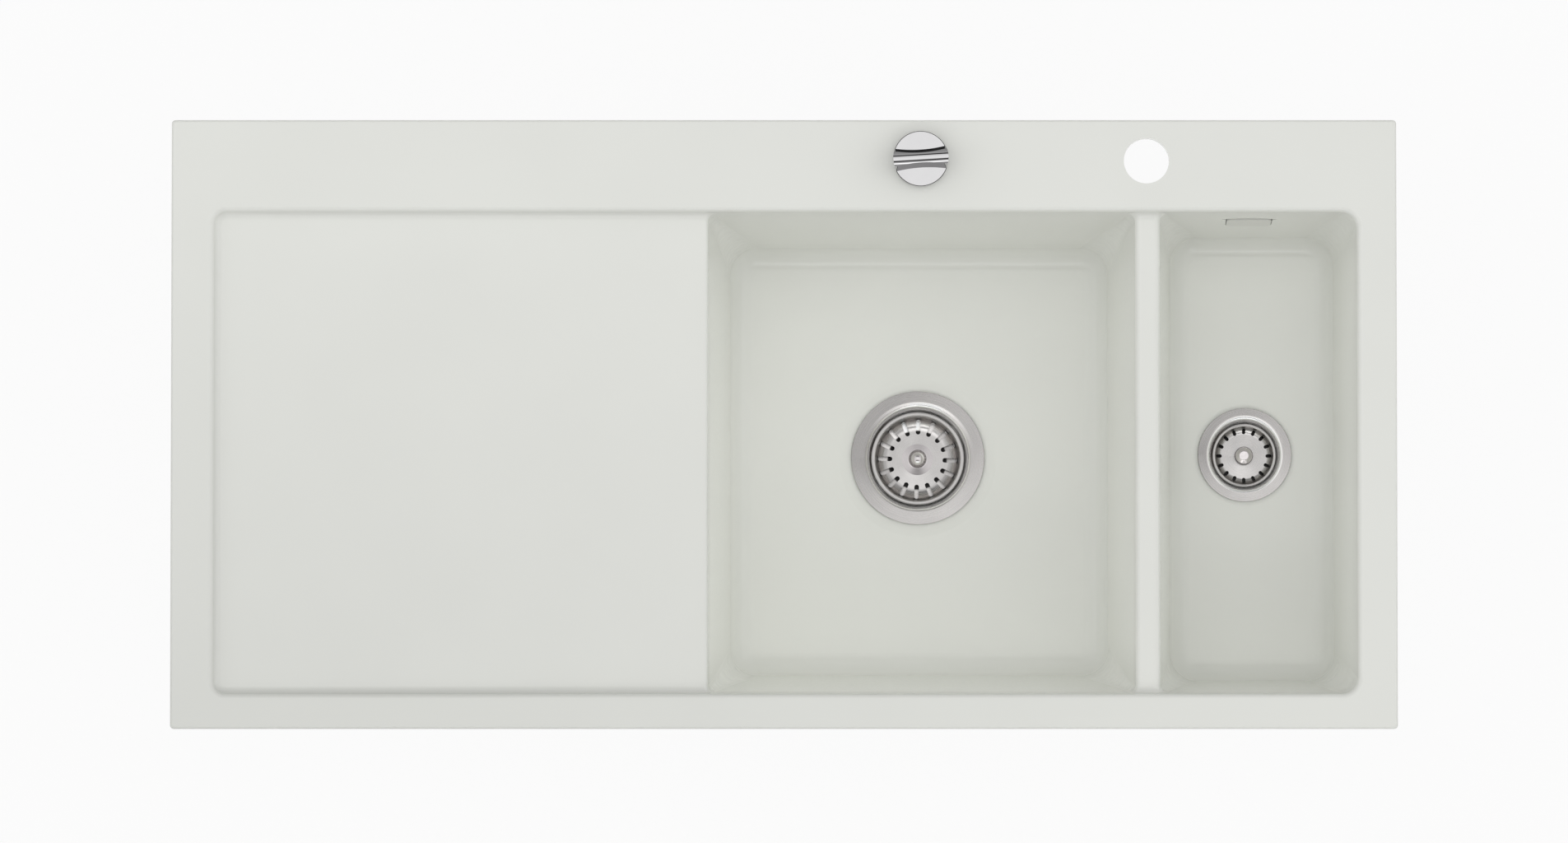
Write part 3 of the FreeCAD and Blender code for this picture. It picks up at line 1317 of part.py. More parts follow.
def overflow_cover():
    """Cover plate in the pocket, with two pins that press into the frame."""
    plate = rounded_plate(COVER_WIDTH, COVER_HEIGHT, COVER_CORNER, -COVER_PROUD, COVER_BACK)
    pins = [
        rod(COVER_PIN, Vector(0, COVER_BACK, z), Vector(0, COVER_PIN_END, z))
        for z in (-COVER_PIN_RISE, COVER_PIN_RISE)
    ]
    return on_wall(fuse(plate, *pins))


def overflow_frame():
    """Frame at the pocket's bottom: screwed to the elbow behind, it holds the cover's pins."""
    frame = rounded_plate(COVER_WIDTH, COVER_HEIGHT, COVER_CORNER, POCKET - FRAME, POCKET)
    window = block(-WINDOW_WIDTH / 2, WINDOW_WIDTH / 2, 0, POCKET + 1, -WINDOW_HEIGHT / 2, WINDOW_HEIGHT / 2)
    frame = frame.cut(window)
    for z in (-COVER_PIN_RISE, COVER_PIN_RISE):
        frame = frame.cut(rod(COVER_PIN + 2 * RUNNING, Vector(0, 0, z), Vector(0, POCKET + 1, z)))
    for x in (-OVERFLOW_SCREW_SPREAD / 2, OVERFLOW_SCREW_SPREAD / 2):
        frame = frame.cut(rod(OVERFLOW_SCREW, Vector(x, 0, 0), Vector(x, POCKET + 1, 0)))
    return on_wall(frame)


def overflow_screws():
    """Two screws from the frame into the elbow's bosses."""
    screws = []
    front = POCKET - FRAME
    for x in (-OVERFLOW_SCREW_SPREAD / 2, OVERFLOW_SCREW_SPREAD / 2):
        head = rod(OVERFLOW_SCREW_HEAD, Vector(x, front - OVERFLOW_SCREW_HEAD_HEIGHT, 0), Vector(x, front, 0))
        shank = rod(OVERFLOW_SCREW, Vector(x, front, 0), Vector(x, front + OVERFLOW_SCREW_LENGTH, 0))
        screws.append(fuse(head, shank))
    return on_wall(Part.makeCompound(screws))


def overflow_gasket():
    """Foam gasket between the wall's outer side and the elbow."""
    gasket = rounded_plate(ELBOW_FLANGE_WIDTH, ELBOW_FLANGE_HEIGHT, COVER_CORNER, WALL, ELBOW_FRONT)
    return on_wall(gasket.cut(rounded_plate(REAR_WIDTH, REAR_HEIGHT, COVER_CORNER, WALL, ELBOW_FRONT)))


def overflow_elbow():
    """Rear body of the overflow: flange, box and a spigot down for the hose."""
    front, back = ELBOW_FRONT, ELBOW_FRONT + ELBOW_DEPTH
    flange = rounded_plate(ELBOW_FLANGE_WIDTH, ELBOW_FLANGE_HEIGHT, COVER_CORNER, front, front + ELBOW_FLANGE)
    box = rounded_plate(ELBOW_WIDTH, ELBOW_HEIGHT, COVER_CORNER, front, back)
    inner_width, inner_height = ELBOW_WIDTH - 2 * ELBOW_WALL, ELBOW_HEIGHT - 2 * ELBOW_WALL
    hollow = rounded_plate(inner_width, inner_height, COVER_CORNER, front, back - ELBOW_WALL)
    low = Vector(0, SPIGOT_Y, SPIGOT_END)
    spigot = rod(HOSE_PORT, low, Vector(0, SPIGOT_Y, -inner_height / 2))
    bore = rod(HOSE_PORT - 2 * HOSE_PORT_WALL, low, Vector(0, SPIGOT_Y, 0))
    elbow = fuse(flange, box, spigot).cut(hollow).cut(bore)
    sides = (-OVERFLOW_SCREW_SPREAD / 2, OVERFLOW_SCREW_SPREAD / 2)
    boss_front, boss_back = back - ELBOW_BOSS_LENGTH, back - ELBOW_SCREW_FLOOR
    elbow = fuse(elbow, *[rod(ELBOW_BOSS, Vector(x, boss_front, 0), Vector(x, boss_back, 0)) for x in sides])
    for x in sides:
        elbow = elbow.cut(rod(OVERFLOW_SCREW, Vector(x, 0, 0), Vector(x, POCKET + OVERFLOW_SCREW_LENGTH, 0)))
    return on_wall(elbow)


def wall_point(y, z):
    """A point on the middle plane of the overflow, given as on a vertical wall."""
    return wall_placement().multVec(Vector(0, y, z))


def hose_route():
    """Start, corner and end of the hose: down along the wall, then forward to the outlet body's port."""
    start = wall_point(SPIGOT_Y, SPIGOT_END + HOSE_OVERLAP)
    onward = wall_point(SPIGOT_Y, SPIGOT_END)
    port_z = SMALL.floor - SMALL.port_drop
    share = (start.z - port_z) / (start.z - onward.z)
    corner = start + (onward - start) * share
    end = Vector(SMALL.x, SMALL.y + HOSE_PORT_LENGTH - HOSE_OVERLAP, port_z)
    return [start, corner, end]


def overflow_hose():
    """Hose from the overflow's elbow to the small waste."""
    edges, radii = path_edges(hose_route(), [HOSE_BEND])
    outer = swept(HOSE, edges)
    print_route("hose", HOSE, edges, radii, outer)
    return outer.cut(swept(HOSE_PORT, edges))


def hose_clips():
    """Two clips that clamp the hose on its spigots."""
    start, corner, end = hose_route()
    clips = []
    for tip, towards in ((start, corner), (end, corner)):
        direction = (towards - tip).normalize()
        near, far = tip + direction * CLIP_INSET, tip + direction * (CLIP_INSET + CLIP)
        band = rod(HOSE + 2 * CLIP_THICKNESS, near, far).cut(rod(HOSE, near, far))
        clips.append(band)
    return Part.makeCompound(clips)


# ================================================================== pipework
def socket_shape(origin, direction):
    """A pipe socket that opens along the direction, its mouth at the origin."""
    back = origin - direction * SOCKET_DEPTH
    outer = rod(SOCKET_OUTER, back - direction * SOCKET_SHOULDER, origin)
    return outer, rod(SPIGOT_BORE, back, origin)


def slip_seal(origin, direction):
    """Rubber ring against the socket's mouth, round the pipe."""
    far = origin + direction * SEAL_LENGTH
    outer = rod(SOCKET_OUTER - 2 * SEAL_SET_BACK, origin, far)
    return outer.cut(rod(PIPE, origin, far))


def slip_nut(origin, direction):
    """Nut over the socket's end, with grip lugs and a lip behind the seal."""
    start = origin - direction * NUT_GRIP
    lip = origin + direction * SEAL_LENGTH
    end = lip + direction * NUT_LIP
    bore = SOCKET_OUTER
    outer = bore + 2 * NUT_WALL
    nut = rod(outer, start, end)
    at = outer / 2 - NUT_LUG + NUT_LUG_PROUD
    lug = rod(2 * NUT_LUG, Vector(at, 0, 0), Vector(at, 0, (end - start).Length))
    turn = Rotation(Vector(0, 0, 1), direction)
    lugs = []
    for copy in around(lug, NUT_LUGS):
        copy.Placement = Placement(start, turn).multiply(copy.Placement)
        lugs.append(copy)
    nut = fuse(nut, *lugs)
    return nut.cut(rod(bore, start, lip)).cut(rod(PIPE + 2 * SLIP, lip, end))


def outlet_tee():
    """Tee under the main waste: top end in the waste's socket, branch socket to the right, tail down."""
    top = Vector(MAIN.x, MAIN.y, MAIN_MOUTH.z + SOCKET_DEPTH - SLIP)
    low = Vector(MAIN.x, MAIN.y, BRANCH_Z - TEE_TAIL)
    middle = Vector(MAIN.x, MAIN.y, BRANCH_Z)
    outer, bore = socket_shape(TEE_MOUTH, RIGHT)
    body = rod(TEE_BODY, middle + DOWN * TEE_BODY_REACH, middle - DOWN * TEE_BODY_REACH)
    branch = rod(TEE_BODY, middle, TEE_MOUTH - RIGHT * SOCKET_DEPTH)
    tee = fuse(rod(PIPE, low, top), body, branch, outer)
    inside = PIPE - 2 * PIPE_WALL
    return tee.cut(rod(inside, low, top)).cut(rod(inside, middle, TEE_MOUTH)).cut(bore)


def drop_elbow():
    """Pipe down from the small waste, bent towards the tee, with a socket at its end."""
    top = Vector(SMALL.x, SMALL.y, SMALL_MOUTH.z + SOCKET_DEPTH - SLIP)
    corner = Vector(SMALL.x, SMALL.y, BRANCH_Z)
    end = ELBOW_MOUTH - LEFT * SOCKET_DEPTH
    edges, radii = path_edges([top, corner, end], [ELBOW_BEND])
    outer, bore = socket_shape(ELBOW_MOUTH, LEFT)
    elbow = fuse(swept(PIPE, edges), outer)
    edges, radii = path_edges([top, corner, ELBOW_MOUTH], [ELBOW_BEND])
    return elbow.cut(swept(PIPE - 2 * PIPE_WALL, edges)).cut(bore)


def connecting_pipe():
    """Straight pipe between the elbow's socket and the tee's."""
    start = TEE_MOUTH - RIGHT * (SOCKET_DEPTH - PIPE_END)
    end = ELBOW_MOUTH - LEFT * (SOCKET_DEPTH - PIPE_END)
    return rod(PIPE, start, end).cut(rod(PIPE - 2 * PIPE_WALL, start, end))


def pieces():
    """Every piece by name."""
    parts = {"sink_body": sink_body()}
    for waste in (MAIN, SMALL):
        parts[waste.name + "_flange_gasket"] = flange_gasket(waste)
        parts[waste.name + "_strainer_cup"] = strainer_cup(waste)
        parts[waste.name + "_body_gasket"] = body_gasket(waste)
        parts[waste.name + "_outlet_body"] = outlet_body(waste)
        parts[waste.name + "_fixing_screw"] = fixing_screw(waste)
        parts[waste.name + "_basket"] = basket(waste)
        parts[waste.name + "_plug_carrier"] = plug_carrier(waste)
        parts[waste.name + "_plug_seal"] = plug_seal(waste)
    parts["main_basket_knob"] = main_basket_knob()
    parts["small_basket_knob"] = small_basket_knob()
    parts["lift_pin"] = lift_pin()
    parts["rocker_lever"] = rocker_lever()
    parts["rocker_pivot"] = rocker_pivot()
    parts["cable_rod_lower"] = cable_rod_lower()
    parts["cable_gland_lower"] = cable_gland_lower()
    parts["bowden_sheath"] = bowden_sheath()
    parts["control_knob"] = control_knob()
    parts["knob_grub_screw"] = knob_grub_screw()
    parts["knob_gasket"] = knob_gasket()
    parts["knob_base_ring"] = knob_base_ring()
    parts["knob_bush"] = knob_bush()
    parts["knob_washer"] = knob_washer()
    parts["knob_lock_nut"] = knob_lock_nut()
    parts["knob_spindle"] = knob_spindle()
    parts["crank_disc"] = crank_disc()
    parts["cable_rod_upper"] = cable_rod_upper()
    parts["cable_box"] = cable_box()
    parts["cable_box_lid"] = cable_box_lid()
    parts["cable_box_screws"] = cable_box_screws()
    parts["cable_gland_upper"] = cable_gland_upper()
    parts["overflow_cover"] = overflow_cover()
    parts["overflow_frame"] = overflow_frame()
    parts["overflow_screws"] = overflow_screws()
    parts["overflow_gasket"] = overflow_gasket()
    parts["overflow_elbow"] = overflow_elbow()
    parts["overflow_hose"] = overflow_hose()
    parts["hose_clips"] = hose_clips()
    parts["outlet_tee"] = outlet_tee()
    parts["drop_elbow"] = drop_elbow()
    parts["connecting_pipe"] = connecting_pipe()
    for name, (mouth, direction) in JOINTS.items():
        parts[name + "_nut"] = slip_nut(mouth, direction)
        parts[name + "_seal"] = slip_seal(mouth, direction)
    return parts


def main():
    """Write one STEP file per piece."""
    os.makedirs("parts", exist_ok=True)
    for name, shape in pieces().items():
        solids = len(shape.Solids)
        print(f"{name:22s} solids {solids} valid {shape.isValid()} volume {shape.Volume / 1000:.2f} cm3")
        shape.exportStep(f"parts/{name}.step")


if __name__ == "__main__":
    main()
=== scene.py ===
"""Kitchen sink with drainboard: its finishes, its control knob and the studio round it."""

from __future__ import annotations

import logging
import math
from dataclasses import dataclass, field
from enum import Enum
from typing import Iterable, Sequence, Union

import bpy
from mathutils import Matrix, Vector

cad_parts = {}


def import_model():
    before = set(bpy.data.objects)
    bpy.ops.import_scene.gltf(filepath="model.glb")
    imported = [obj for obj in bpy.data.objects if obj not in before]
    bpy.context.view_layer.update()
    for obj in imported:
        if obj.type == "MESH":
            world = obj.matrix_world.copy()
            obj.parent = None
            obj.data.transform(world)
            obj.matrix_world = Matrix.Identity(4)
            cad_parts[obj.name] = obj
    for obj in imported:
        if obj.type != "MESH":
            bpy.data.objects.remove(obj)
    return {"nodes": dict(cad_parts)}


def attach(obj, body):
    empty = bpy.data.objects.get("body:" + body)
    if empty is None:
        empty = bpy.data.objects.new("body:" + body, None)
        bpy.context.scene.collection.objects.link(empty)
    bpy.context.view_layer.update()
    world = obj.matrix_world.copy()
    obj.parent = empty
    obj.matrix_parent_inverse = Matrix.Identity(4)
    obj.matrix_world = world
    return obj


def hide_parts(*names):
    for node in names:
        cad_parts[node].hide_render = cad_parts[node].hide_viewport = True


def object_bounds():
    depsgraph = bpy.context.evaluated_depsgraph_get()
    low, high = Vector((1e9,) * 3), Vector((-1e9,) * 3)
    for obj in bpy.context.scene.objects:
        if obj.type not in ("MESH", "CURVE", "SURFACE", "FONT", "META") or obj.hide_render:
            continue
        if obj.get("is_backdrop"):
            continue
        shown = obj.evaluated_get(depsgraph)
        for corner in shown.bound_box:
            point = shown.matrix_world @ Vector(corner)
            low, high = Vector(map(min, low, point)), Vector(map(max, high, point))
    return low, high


LOG = logging.getLogger("sink")
Colour = tuple[float, float, float]
Pair = tuple[float, float]
Socket = bpy.types.NodeSocket
Value = Union[Socket, float]

MERGE = 0.000002  # points nearer than this are one point
TOUCH = 0.00001  # how exactly a place on the knob is told


# ------------------------------------------------------------------ node sheets
@dataclass
class NodeSheet:
    """A node tree with short ways to add and join nodes."""

    tree: bpy.types.NodeTree

    def add(self, kind: str, **settings: object) -> bpy.types.Node:
        """Add a node and set its properties.

        Args:
            kind: Blender's name of the node type.
            settings: Properties of the node, by name.

        Returns:
            The new node.
        """
        node = self.tree.nodes.new(kind)
        for name, value in settings.items():
            setattr(node, name, value)
        return node

    def join(self, start: Socket, end: Socket) -> None:
        """Link an output to an input."""
        self.tree.links.new(start, end)

    def maths(self, operation: str, *values: Value) -> Socket:
        """Add a Math node whose inputs are sockets or numbers.

        Args:
            operation: Name of the operation.
            values: Its inputs in order.

        Returns:
            The node's output.
        """
        node = self.add("ShaderNodeMath", operation=operation)
        for socket, value in zip(node.inputs, values):
            if isinstance(value, Socket):
                self.join(value, socket)
            else:
                socket.default_value = value
        return node.outputs[0]

    def plus(self, first: Value, second: Value) -> Socket:
        """Sum of two values."""
        return self.maths("ADD", first, second)

    def minus(self, first: Value, second: Value) -> Socket:
        """Difference of two values."""
        return self.maths("SUBTRACT", first, second)

    def times(self, first: Value, second: Value) -> Socket:
        """Product of two values."""
        return self.maths("MULTIPLY", first, second)

    def at_least(self, first: Value, second: Value) -> Socket:
        """Larger of two values."""
        return self.maths("MAXIMUM", first, second)

    def fade(self, value: Socket, reach: Pair, ends: Pair) -> Socket:
        """Smooth step of a value.

        Args:
            value: The value.
            reach: Where the step starts and where it ends.
            ends: What it gives before and after the step.

        Returns:
            The stepped value.
        """
        node = self.add("ShaderNodeMapRange", interpolation_type="SMOOTHSTEP")
        labels = ("From Min", "From Max", "To Min", "To Max")
        for label, number in zip(labels, (*reach, *ends)):
            node.inputs[label].default_value = number
        self.join(value, node.inputs["Value"])
        return node.outputs[0]

    def parts(self, system: str = "Object") -> tuple[Socket, Socket, Socket]:
        """X, Y and Z of the shaded point or direction.

        Args:
            system: Coordinates to read.

        Returns:
            The three parts.
        """
        place = self.add("ShaderNodeTexCoord")
        parts = self.add("ShaderNodeSeparateXYZ")
        self.join(place.outputs[system], parts.inputs[0])
        return tuple(parts.outputs)

    def scaled(self, shade: Socket, factor: Socket) -> Socket:
        """A colour made lighter or darker by a factor.

        Args:
            shade: The colour.
            factor: The factor.

        Returns:
            The scaled colour.
        """
        node = self.add("ShaderNodeVectorMath", operation="SCALE")
        self.join(shade, node.inputs[0])
        self.join(factor, node.inputs["Scale"])
        return node.outputs[0]


@dataclass
class GroupSheet(NodeSheet):
    """The sheet of a shader node group with number sockets."""

    def given(self, label: str) -> Socket:
        """One of the group's inputs."""
        return self.tree.nodes["in"].outputs[label]

    def give(self, label: str, value: Socket) -> None:
        """Put a value out of the group."""
        self.join(value, self.tree.nodes["out"].inputs[label])

    def round_axis(self) -> tuple[Socket, Socket, Socket, Socket]:
        """X and Y from the group's centre, the height, and the distance from its axis.

        Returns:
            The four values.
        """
        x, y, z = self.parts()
        x = self.minus(x, self.given("Centre X"))
        y = self.minus(y, self.given("Centre Y"))
        return x, y, z, self.maths("SQRT", self.plus(self.times(x, x), self.times(y, y)))


def new_group(name: str, inputs: dict[str, float], outputs: Sequence[str]) -> GroupSheet:
    """Start a shader node group.

    Args:
        name: Name of the group.
        inputs: Default values of its inputs by name.
        outputs: Names of its outputs.

    Returns:
        The group's sheet, with its input and output nodes placed.
    """
    tree = bpy.data.node_groups.new(name, "ShaderNodeTree")
    for label, value in inputs.items():
        socket = tree.interface.new_socket(label, in_out="INPUT", socket_type="NodeSocketFloat")
        socket.default_value = value
    for label in outputs:
        tree.interface.new_socket(label, in_out="OUTPUT", socket_type="NodeSocketFloat")
    sheet = GroupSheet(tree)
    sheet.add("NodeGroupInput", name="in")
    sheet.add("NodeGroupOutput", name="out")
    return sheet


# ------------------------------------------------------------------ shared effects
@dataclass(frozen=True)
class PaintedCornerShading:
    """Where painted shade greys the glaze on the rim and painted light lifts the bowls' floors.
    """

    back: float = 0.19  # painted shade greys the rim from here forwards
    forwards: float = 1.7
    right: float = 0.65  # and ever less up to here
    rim: Pair = (-0.02, 0.0)  # heights between which a bowl becomes the rim
    middle: Pair = (0.11, -0.02)  # painted light lifts the floors from here to the left and the front
    growth: Pair = (1.6, 2.5)
    start: float = 0.3


@dataclass
class Effects:
    """Shader node groups that several finishes share."""

    # painted shade on the rim and painted light on the bowls' floors
    corner: PaintedCornerShading = PaintedCornerShading()
    streak_rate: float = 90.0  # streaks along a radius, per metre
    streak_turn: float = 1.2
    least_reach: Pair = (0.004, 0.0005)  # nearest to the axis that a sweep and an accent are told
    groups: dict[str, bpy.types.NodeTree] = field(default_factory=dict)

    def build(self) -> None:
        """Build every shared group once."""
        self.groups["unevenness"] = self._unevenness()
        self.groups["turning"] = self._turning()
        self.groups["painted_corner_shading"] = self._painted_corner_shading()
        self.groups["sweep"] = self._sweep()
        self.groups["painted_accent"] = self._accent()

    def _unevenness(self) -> bpy.types.NodeTree:
        """Broad waves and fine grain over a surface, as two values round one half.

        Returns:
            The group's tree.
        """
        scales = {"Broad Scale": 12.0, "Fine Scale": 900.0}
        sheet = new_group("unevenness", scales, ("Broad", "Fine"))
        place = sheet.add("ShaderNodeTexCoord")
        for label, detail in (("Broad", 2.0), ("Fine", 3.0)):
            noise = sheet.add("ShaderNodeTexNoise")
            noise.inputs["Detail"].default_value = detail
            sheet.join(place.outputs["Object"], noise.inputs["Vector"])
            sheet.join(sheet.given(label + " Scale"), noise.inputs["Scale"])
            sheet.give(label, noise.outputs["Fac"])
        return sheet.tree

    def _turning(self) -> bpy.types.NodeTree:
        """Fine rings about an upright axis, as a lathe or a rotary brush leaves them.

        Returns:
            The group's tree.
        """
        inputs = {"Centre X": 0.0, "Centre Y": 0.0, "Rings per Metre": 1500.0}
        sheet = new_group("turning", inputs, ("Rings", "Streaks"))
        x, y, z, distance = sheet.round_axis()
        reach = sheet.plus(distance, z)
        rings = sheet.add("ShaderNodeTexNoise", noise_dimensions="1D")
        rings.inputs["Detail"].default_value = 4.0
        rings.inputs["Scale"].default_value = 1.0
        sheet.join(sheet.times(reach, sheet.given("Rings per Metre")), rings.inputs["W"])
        sheet.give("Rings", rings.outputs["Fac"])
        streaks = sheet.add("ShaderNodeTexNoise", noise_dimensions="2D")
        streaks.inputs["Scale"].default_value = 1.0
        spread = sheet.add("ShaderNodeCombineXYZ")
        sheet.join(sheet.times(reach, self.streak_rate), spread.inputs[0])
        around = sheet.times(sheet.maths("ARCTAN2", y, x), self.streak_turn)
        sheet.join(around, spread.inputs[1])
        sheet.join(spread.outputs[0], streaks.inputs["Vector"])
        sheet.give("Streaks", streaks.outputs["Fac"])
        return sheet.tree

    def _painted_corner_shading(self) -> bpy.types.NodeTree:
        """Factor of painted shade that greys the rim and painted light that lifts the bowls'
        floors towards the front left corner.

        Returns:
            The group's tree.
        """
        sheet = new_group("painted_corner_shading", {"Amount": 0.08, "Lift": 0.0}, ("Factor",))
        tone = self.corner
        x, y, z = sheet.parts()
        # painted shade: the rim greys towards the front left
        forward = sheet.at_least(sheet.times(sheet.minus(tone.back, y), tone.forwards), 0.0)
        grey = sheet.times(forward, sheet.minus(tone.right, x))
        high = sheet.fade(z, tone.rim, (0.0, 1.0))
        grey = sheet.times(sheet.times(grey, high), sheet.given("Amount"))
        # painted light: the bowls' floors grow paler towards the front left
        left = sheet.times(sheet.minus(tone.middle[0], x), tone.growth[0])
        front = sheet.times(sheet.minus(tone.middle[1], y), tone.growth[1])
        pale = sheet.at_least(sheet.plus(sheet.plus(left, front), tone.start), 0.0)
        pale = sheet.times(sheet.times(pale, sheet.minus(1.0, high)), sheet.given("Lift"))
        sheet.give("Factor", sheet.plus(sheet.minus(1.0, grey), pale))
        return sheet.tree

    def _sweep(self) -> bpy.types.NodeTree:
        """Factor of painted light and shade that changes round an upright axis.

        Returns:
            The group's tree.
        """
        inputs = {"Centre X": 0.0, "Centre Y": 0.0, "Across": 0.1, "Along": -0.1, "Sides": 0.0}
        sheet = new_group("sweep", inputs, ("Factor",))
        x, y, _, distance = sheet.round_axis()
        reach = sheet.at_least(distance, self.least_reach[0])
        x, y = sheet.maths("DIVIDE", x, reach), sheet.maths("DIVIDE", y, reach)
        total = sheet.plus(1.0, sheet.times(x, sheet.given("Across")))
        total = sheet.plus(total, sheet.times(y, sheet.given("Along")))
        sides = sheet.times(sheet.times(x, x), sheet.given("Sides"))
        sheet.give("Factor", sheet.plus(total, sides))
        return sheet.tree

    def _accent(self) -> bpy.types.NodeTree:
        """Mask of a ring round an upright axis, for painted highlights and painted shade,
        strongest on the side that it faces.

        Returns:
            The group's tree.
        """
        inputs = {"Centre X": 0.0, "Centre Y": 0.0, "Inner": 0.0, "Outer": 0.01, "Soft": 0.0008}
        inputs |= {"Facing X": 0.0, "Facing Y": 1.0, "Power": 2.0, "Top": 10.0}
        sheet = new_group("painted_accent", inputs, ("Mask",))
        x, y, z, distance = sheet.round_axis()
        reach = sheet.at_least(distance, self.least_reach[1])
        soft = sheet.given("Soft")
        inside = sheet.maths("DIVIDE", sheet.minus(reach, sheet.given("Inner")), soft)
        outside = sheet.maths("DIVIDE", sheet.minus(sheet.given("Outer"), reach), soft)
        band = sheet.plus(sheet.maths("MINIMUM", inside, outside), 0.5)
        band = sheet.maths("MINIMUM", sheet.at_least(band, 0.0), 1.0)
        facing = sheet.times(x, sheet.given("Facing X"))
        facing = sheet.plus(facing, sheet.times(y, sheet.given("Facing Y")))
        facing = sheet.at_least(sheet.maths("DIVIDE", facing, reach), 0.0001)
        facing = sheet.maths("POWER", facing, sheet.given("Power"))
        below = sheet.maths("LESS_THAN", z, sheet.given("Top"))
        sheet.give("Mask", sheet.times(sheet.times(band, facing), below))
        return sheet.tree

    def place(self, sheet: NodeSheet, name: str, **values: float) -> bpy.types.Node:
        """Place a shared group in a material.

        Args:
            sheet: The material's node sheet.
            name: Name of the group.
            values: Input values; an underscore stands for a space.

        Returns:
            The group's node.
        """
        node = sheet.add("ShaderNodeGroup")
        node.node_tree = self.groups[name]
        for label, value in values.items():
            node.inputs[label.replace("_", " ")].default_value = value
        return node


EFFECTS = Effects()


# ------------------------------------------------------------------ finishes
@dataclass
class Blank:
    """An empty node material, ready to be given a colour, a roughness and a relief."""

    name: str

    def __post_init__(self) -> None:
        """Make the material and find its shader."""
        self.material = bpy.data.materials.new(self.name)
        self.material.use_nodes = True
        self.sheet = NodeSheet(self.material.node_tree)
        self.shader = self.material.node_tree.nodes["Principled BSDF"]

    def between(self, value: Socket, colour: Colour, spread: Pair) -> Socket:
        """Colour that runs from a darker to a lighter shade with a value.

        Args:
            value: Value round one half.
            colour: The middle colour.
            spread: Factors of its darker and its lighter shade.

        Returns:
            The colour output.
        """
        ramp = self.sheet.add("ShaderNodeValToRGB")
        for element, at, factor in zip(ramp.color_ramp.elements, (0.3, 0.7), spread):
            element.position = at
            element.color = (*(min(1.0, part * factor) for part in colour), 1.0)
        self.sheet.join(value, ramp.inputs[0])
        return ramp.outputs[0]

    def colour(self, shade: Socket) -> None:
        """Give the shader its colour."""
        self.sheet.join(shade, self.shader.inputs["Base Color"])

    def roughen(self, grain: Socket, swing: float, mean: float) -> None:
        """Let the roughness swing about a mean with a grain."""
        rough = self.sheet.maths("MULTIPLY_ADD", grain, swing, max(0.0, mean - swing / 2))
        self.sheet.join(rough, self.shader.inputs["Roughness"])

    def emboss(self, grain: Socket, strength: float, distance: float) -> None:
        """Raise a grain as a fine relief.

        Args:
            grain: The grain.
            strength: How strongly it shows.
            distance: Its height in metres.
        """
        bump = self.sheet.add("ShaderNodeBump")
        bump.inputs["Strength"].default_value = strength
        bump.inputs["Distance"].default_value = distance
        self.sheet.join(grain, bump.inputs["Height"])
        self.sheet.join(bump.outputs[0], self.shader.inputs["Normal"])


@dataclass(frozen=True)
class Glaze:
    """Satin ceramic glaze: faint waves in the surface, a hint of cloudiness in the shade, and
    painted shade and light towards the front left.
    """

    name: str = "ceramic_glaze"
    colour: Colour = (0.851, 0.860, 0.816)
    roughness: float = 0.15
    # painted shade on the rim and painted light on the bowls' floors, towards the front left
    painted_shade: float = 0.0
    lift: float = 0.0

    def build(self) -> bpy.types.Material:
        """Build the material.

        Returns:
            The material.
        """
        blank = Blank(self.name)
        sheet = blank.sheet
        waves = EFFECTS.place(sheet, "unevenness", Broad_Scale=9.0, Fine_Scale=420.0)
        shade = blank.between(waves.outputs["Broad"], self.colour, (0.990, 1.008))
        # painted shade greys the rim and painted light lifts the bowls' floors towards the front
        # left
        corner = EFFECTS.place(sheet, "painted_corner_shading", Amount=self.painted_shade, Lift=self.lift)
        blank.colour(sheet.scaled(shade, corner.outputs["Factor"]))
        blank.roughen(waves.outputs["Fine"], 0.05, self.roughness)
        blank.emboss(waves.outputs["Fine"], 0.06, 0.0004)
        blank.shader.inputs["IOR"].default_value = 1.5
        return blank.material


@dataclass(frozen=True)
class PaintedAccent:
    """Ring of painted highlight (a gain above nought) or painted shade (below) on turned steel,
    towards one side or all round.
    """

    inner: float
    outer: float
    gain: float
    facing: Pair = (0.0, 1.0)
    power: float = 0.0
    top: float = 10.0  # only below this height
    soft: float = 0.0012


@dataclass(frozen=True)
class PaintedSweep:
    """Painted light and shade round brushed steel's axis: across, along and on both sides."""

    across: float = 0.0
    along: float = 0.0
    sides: float = 0.0


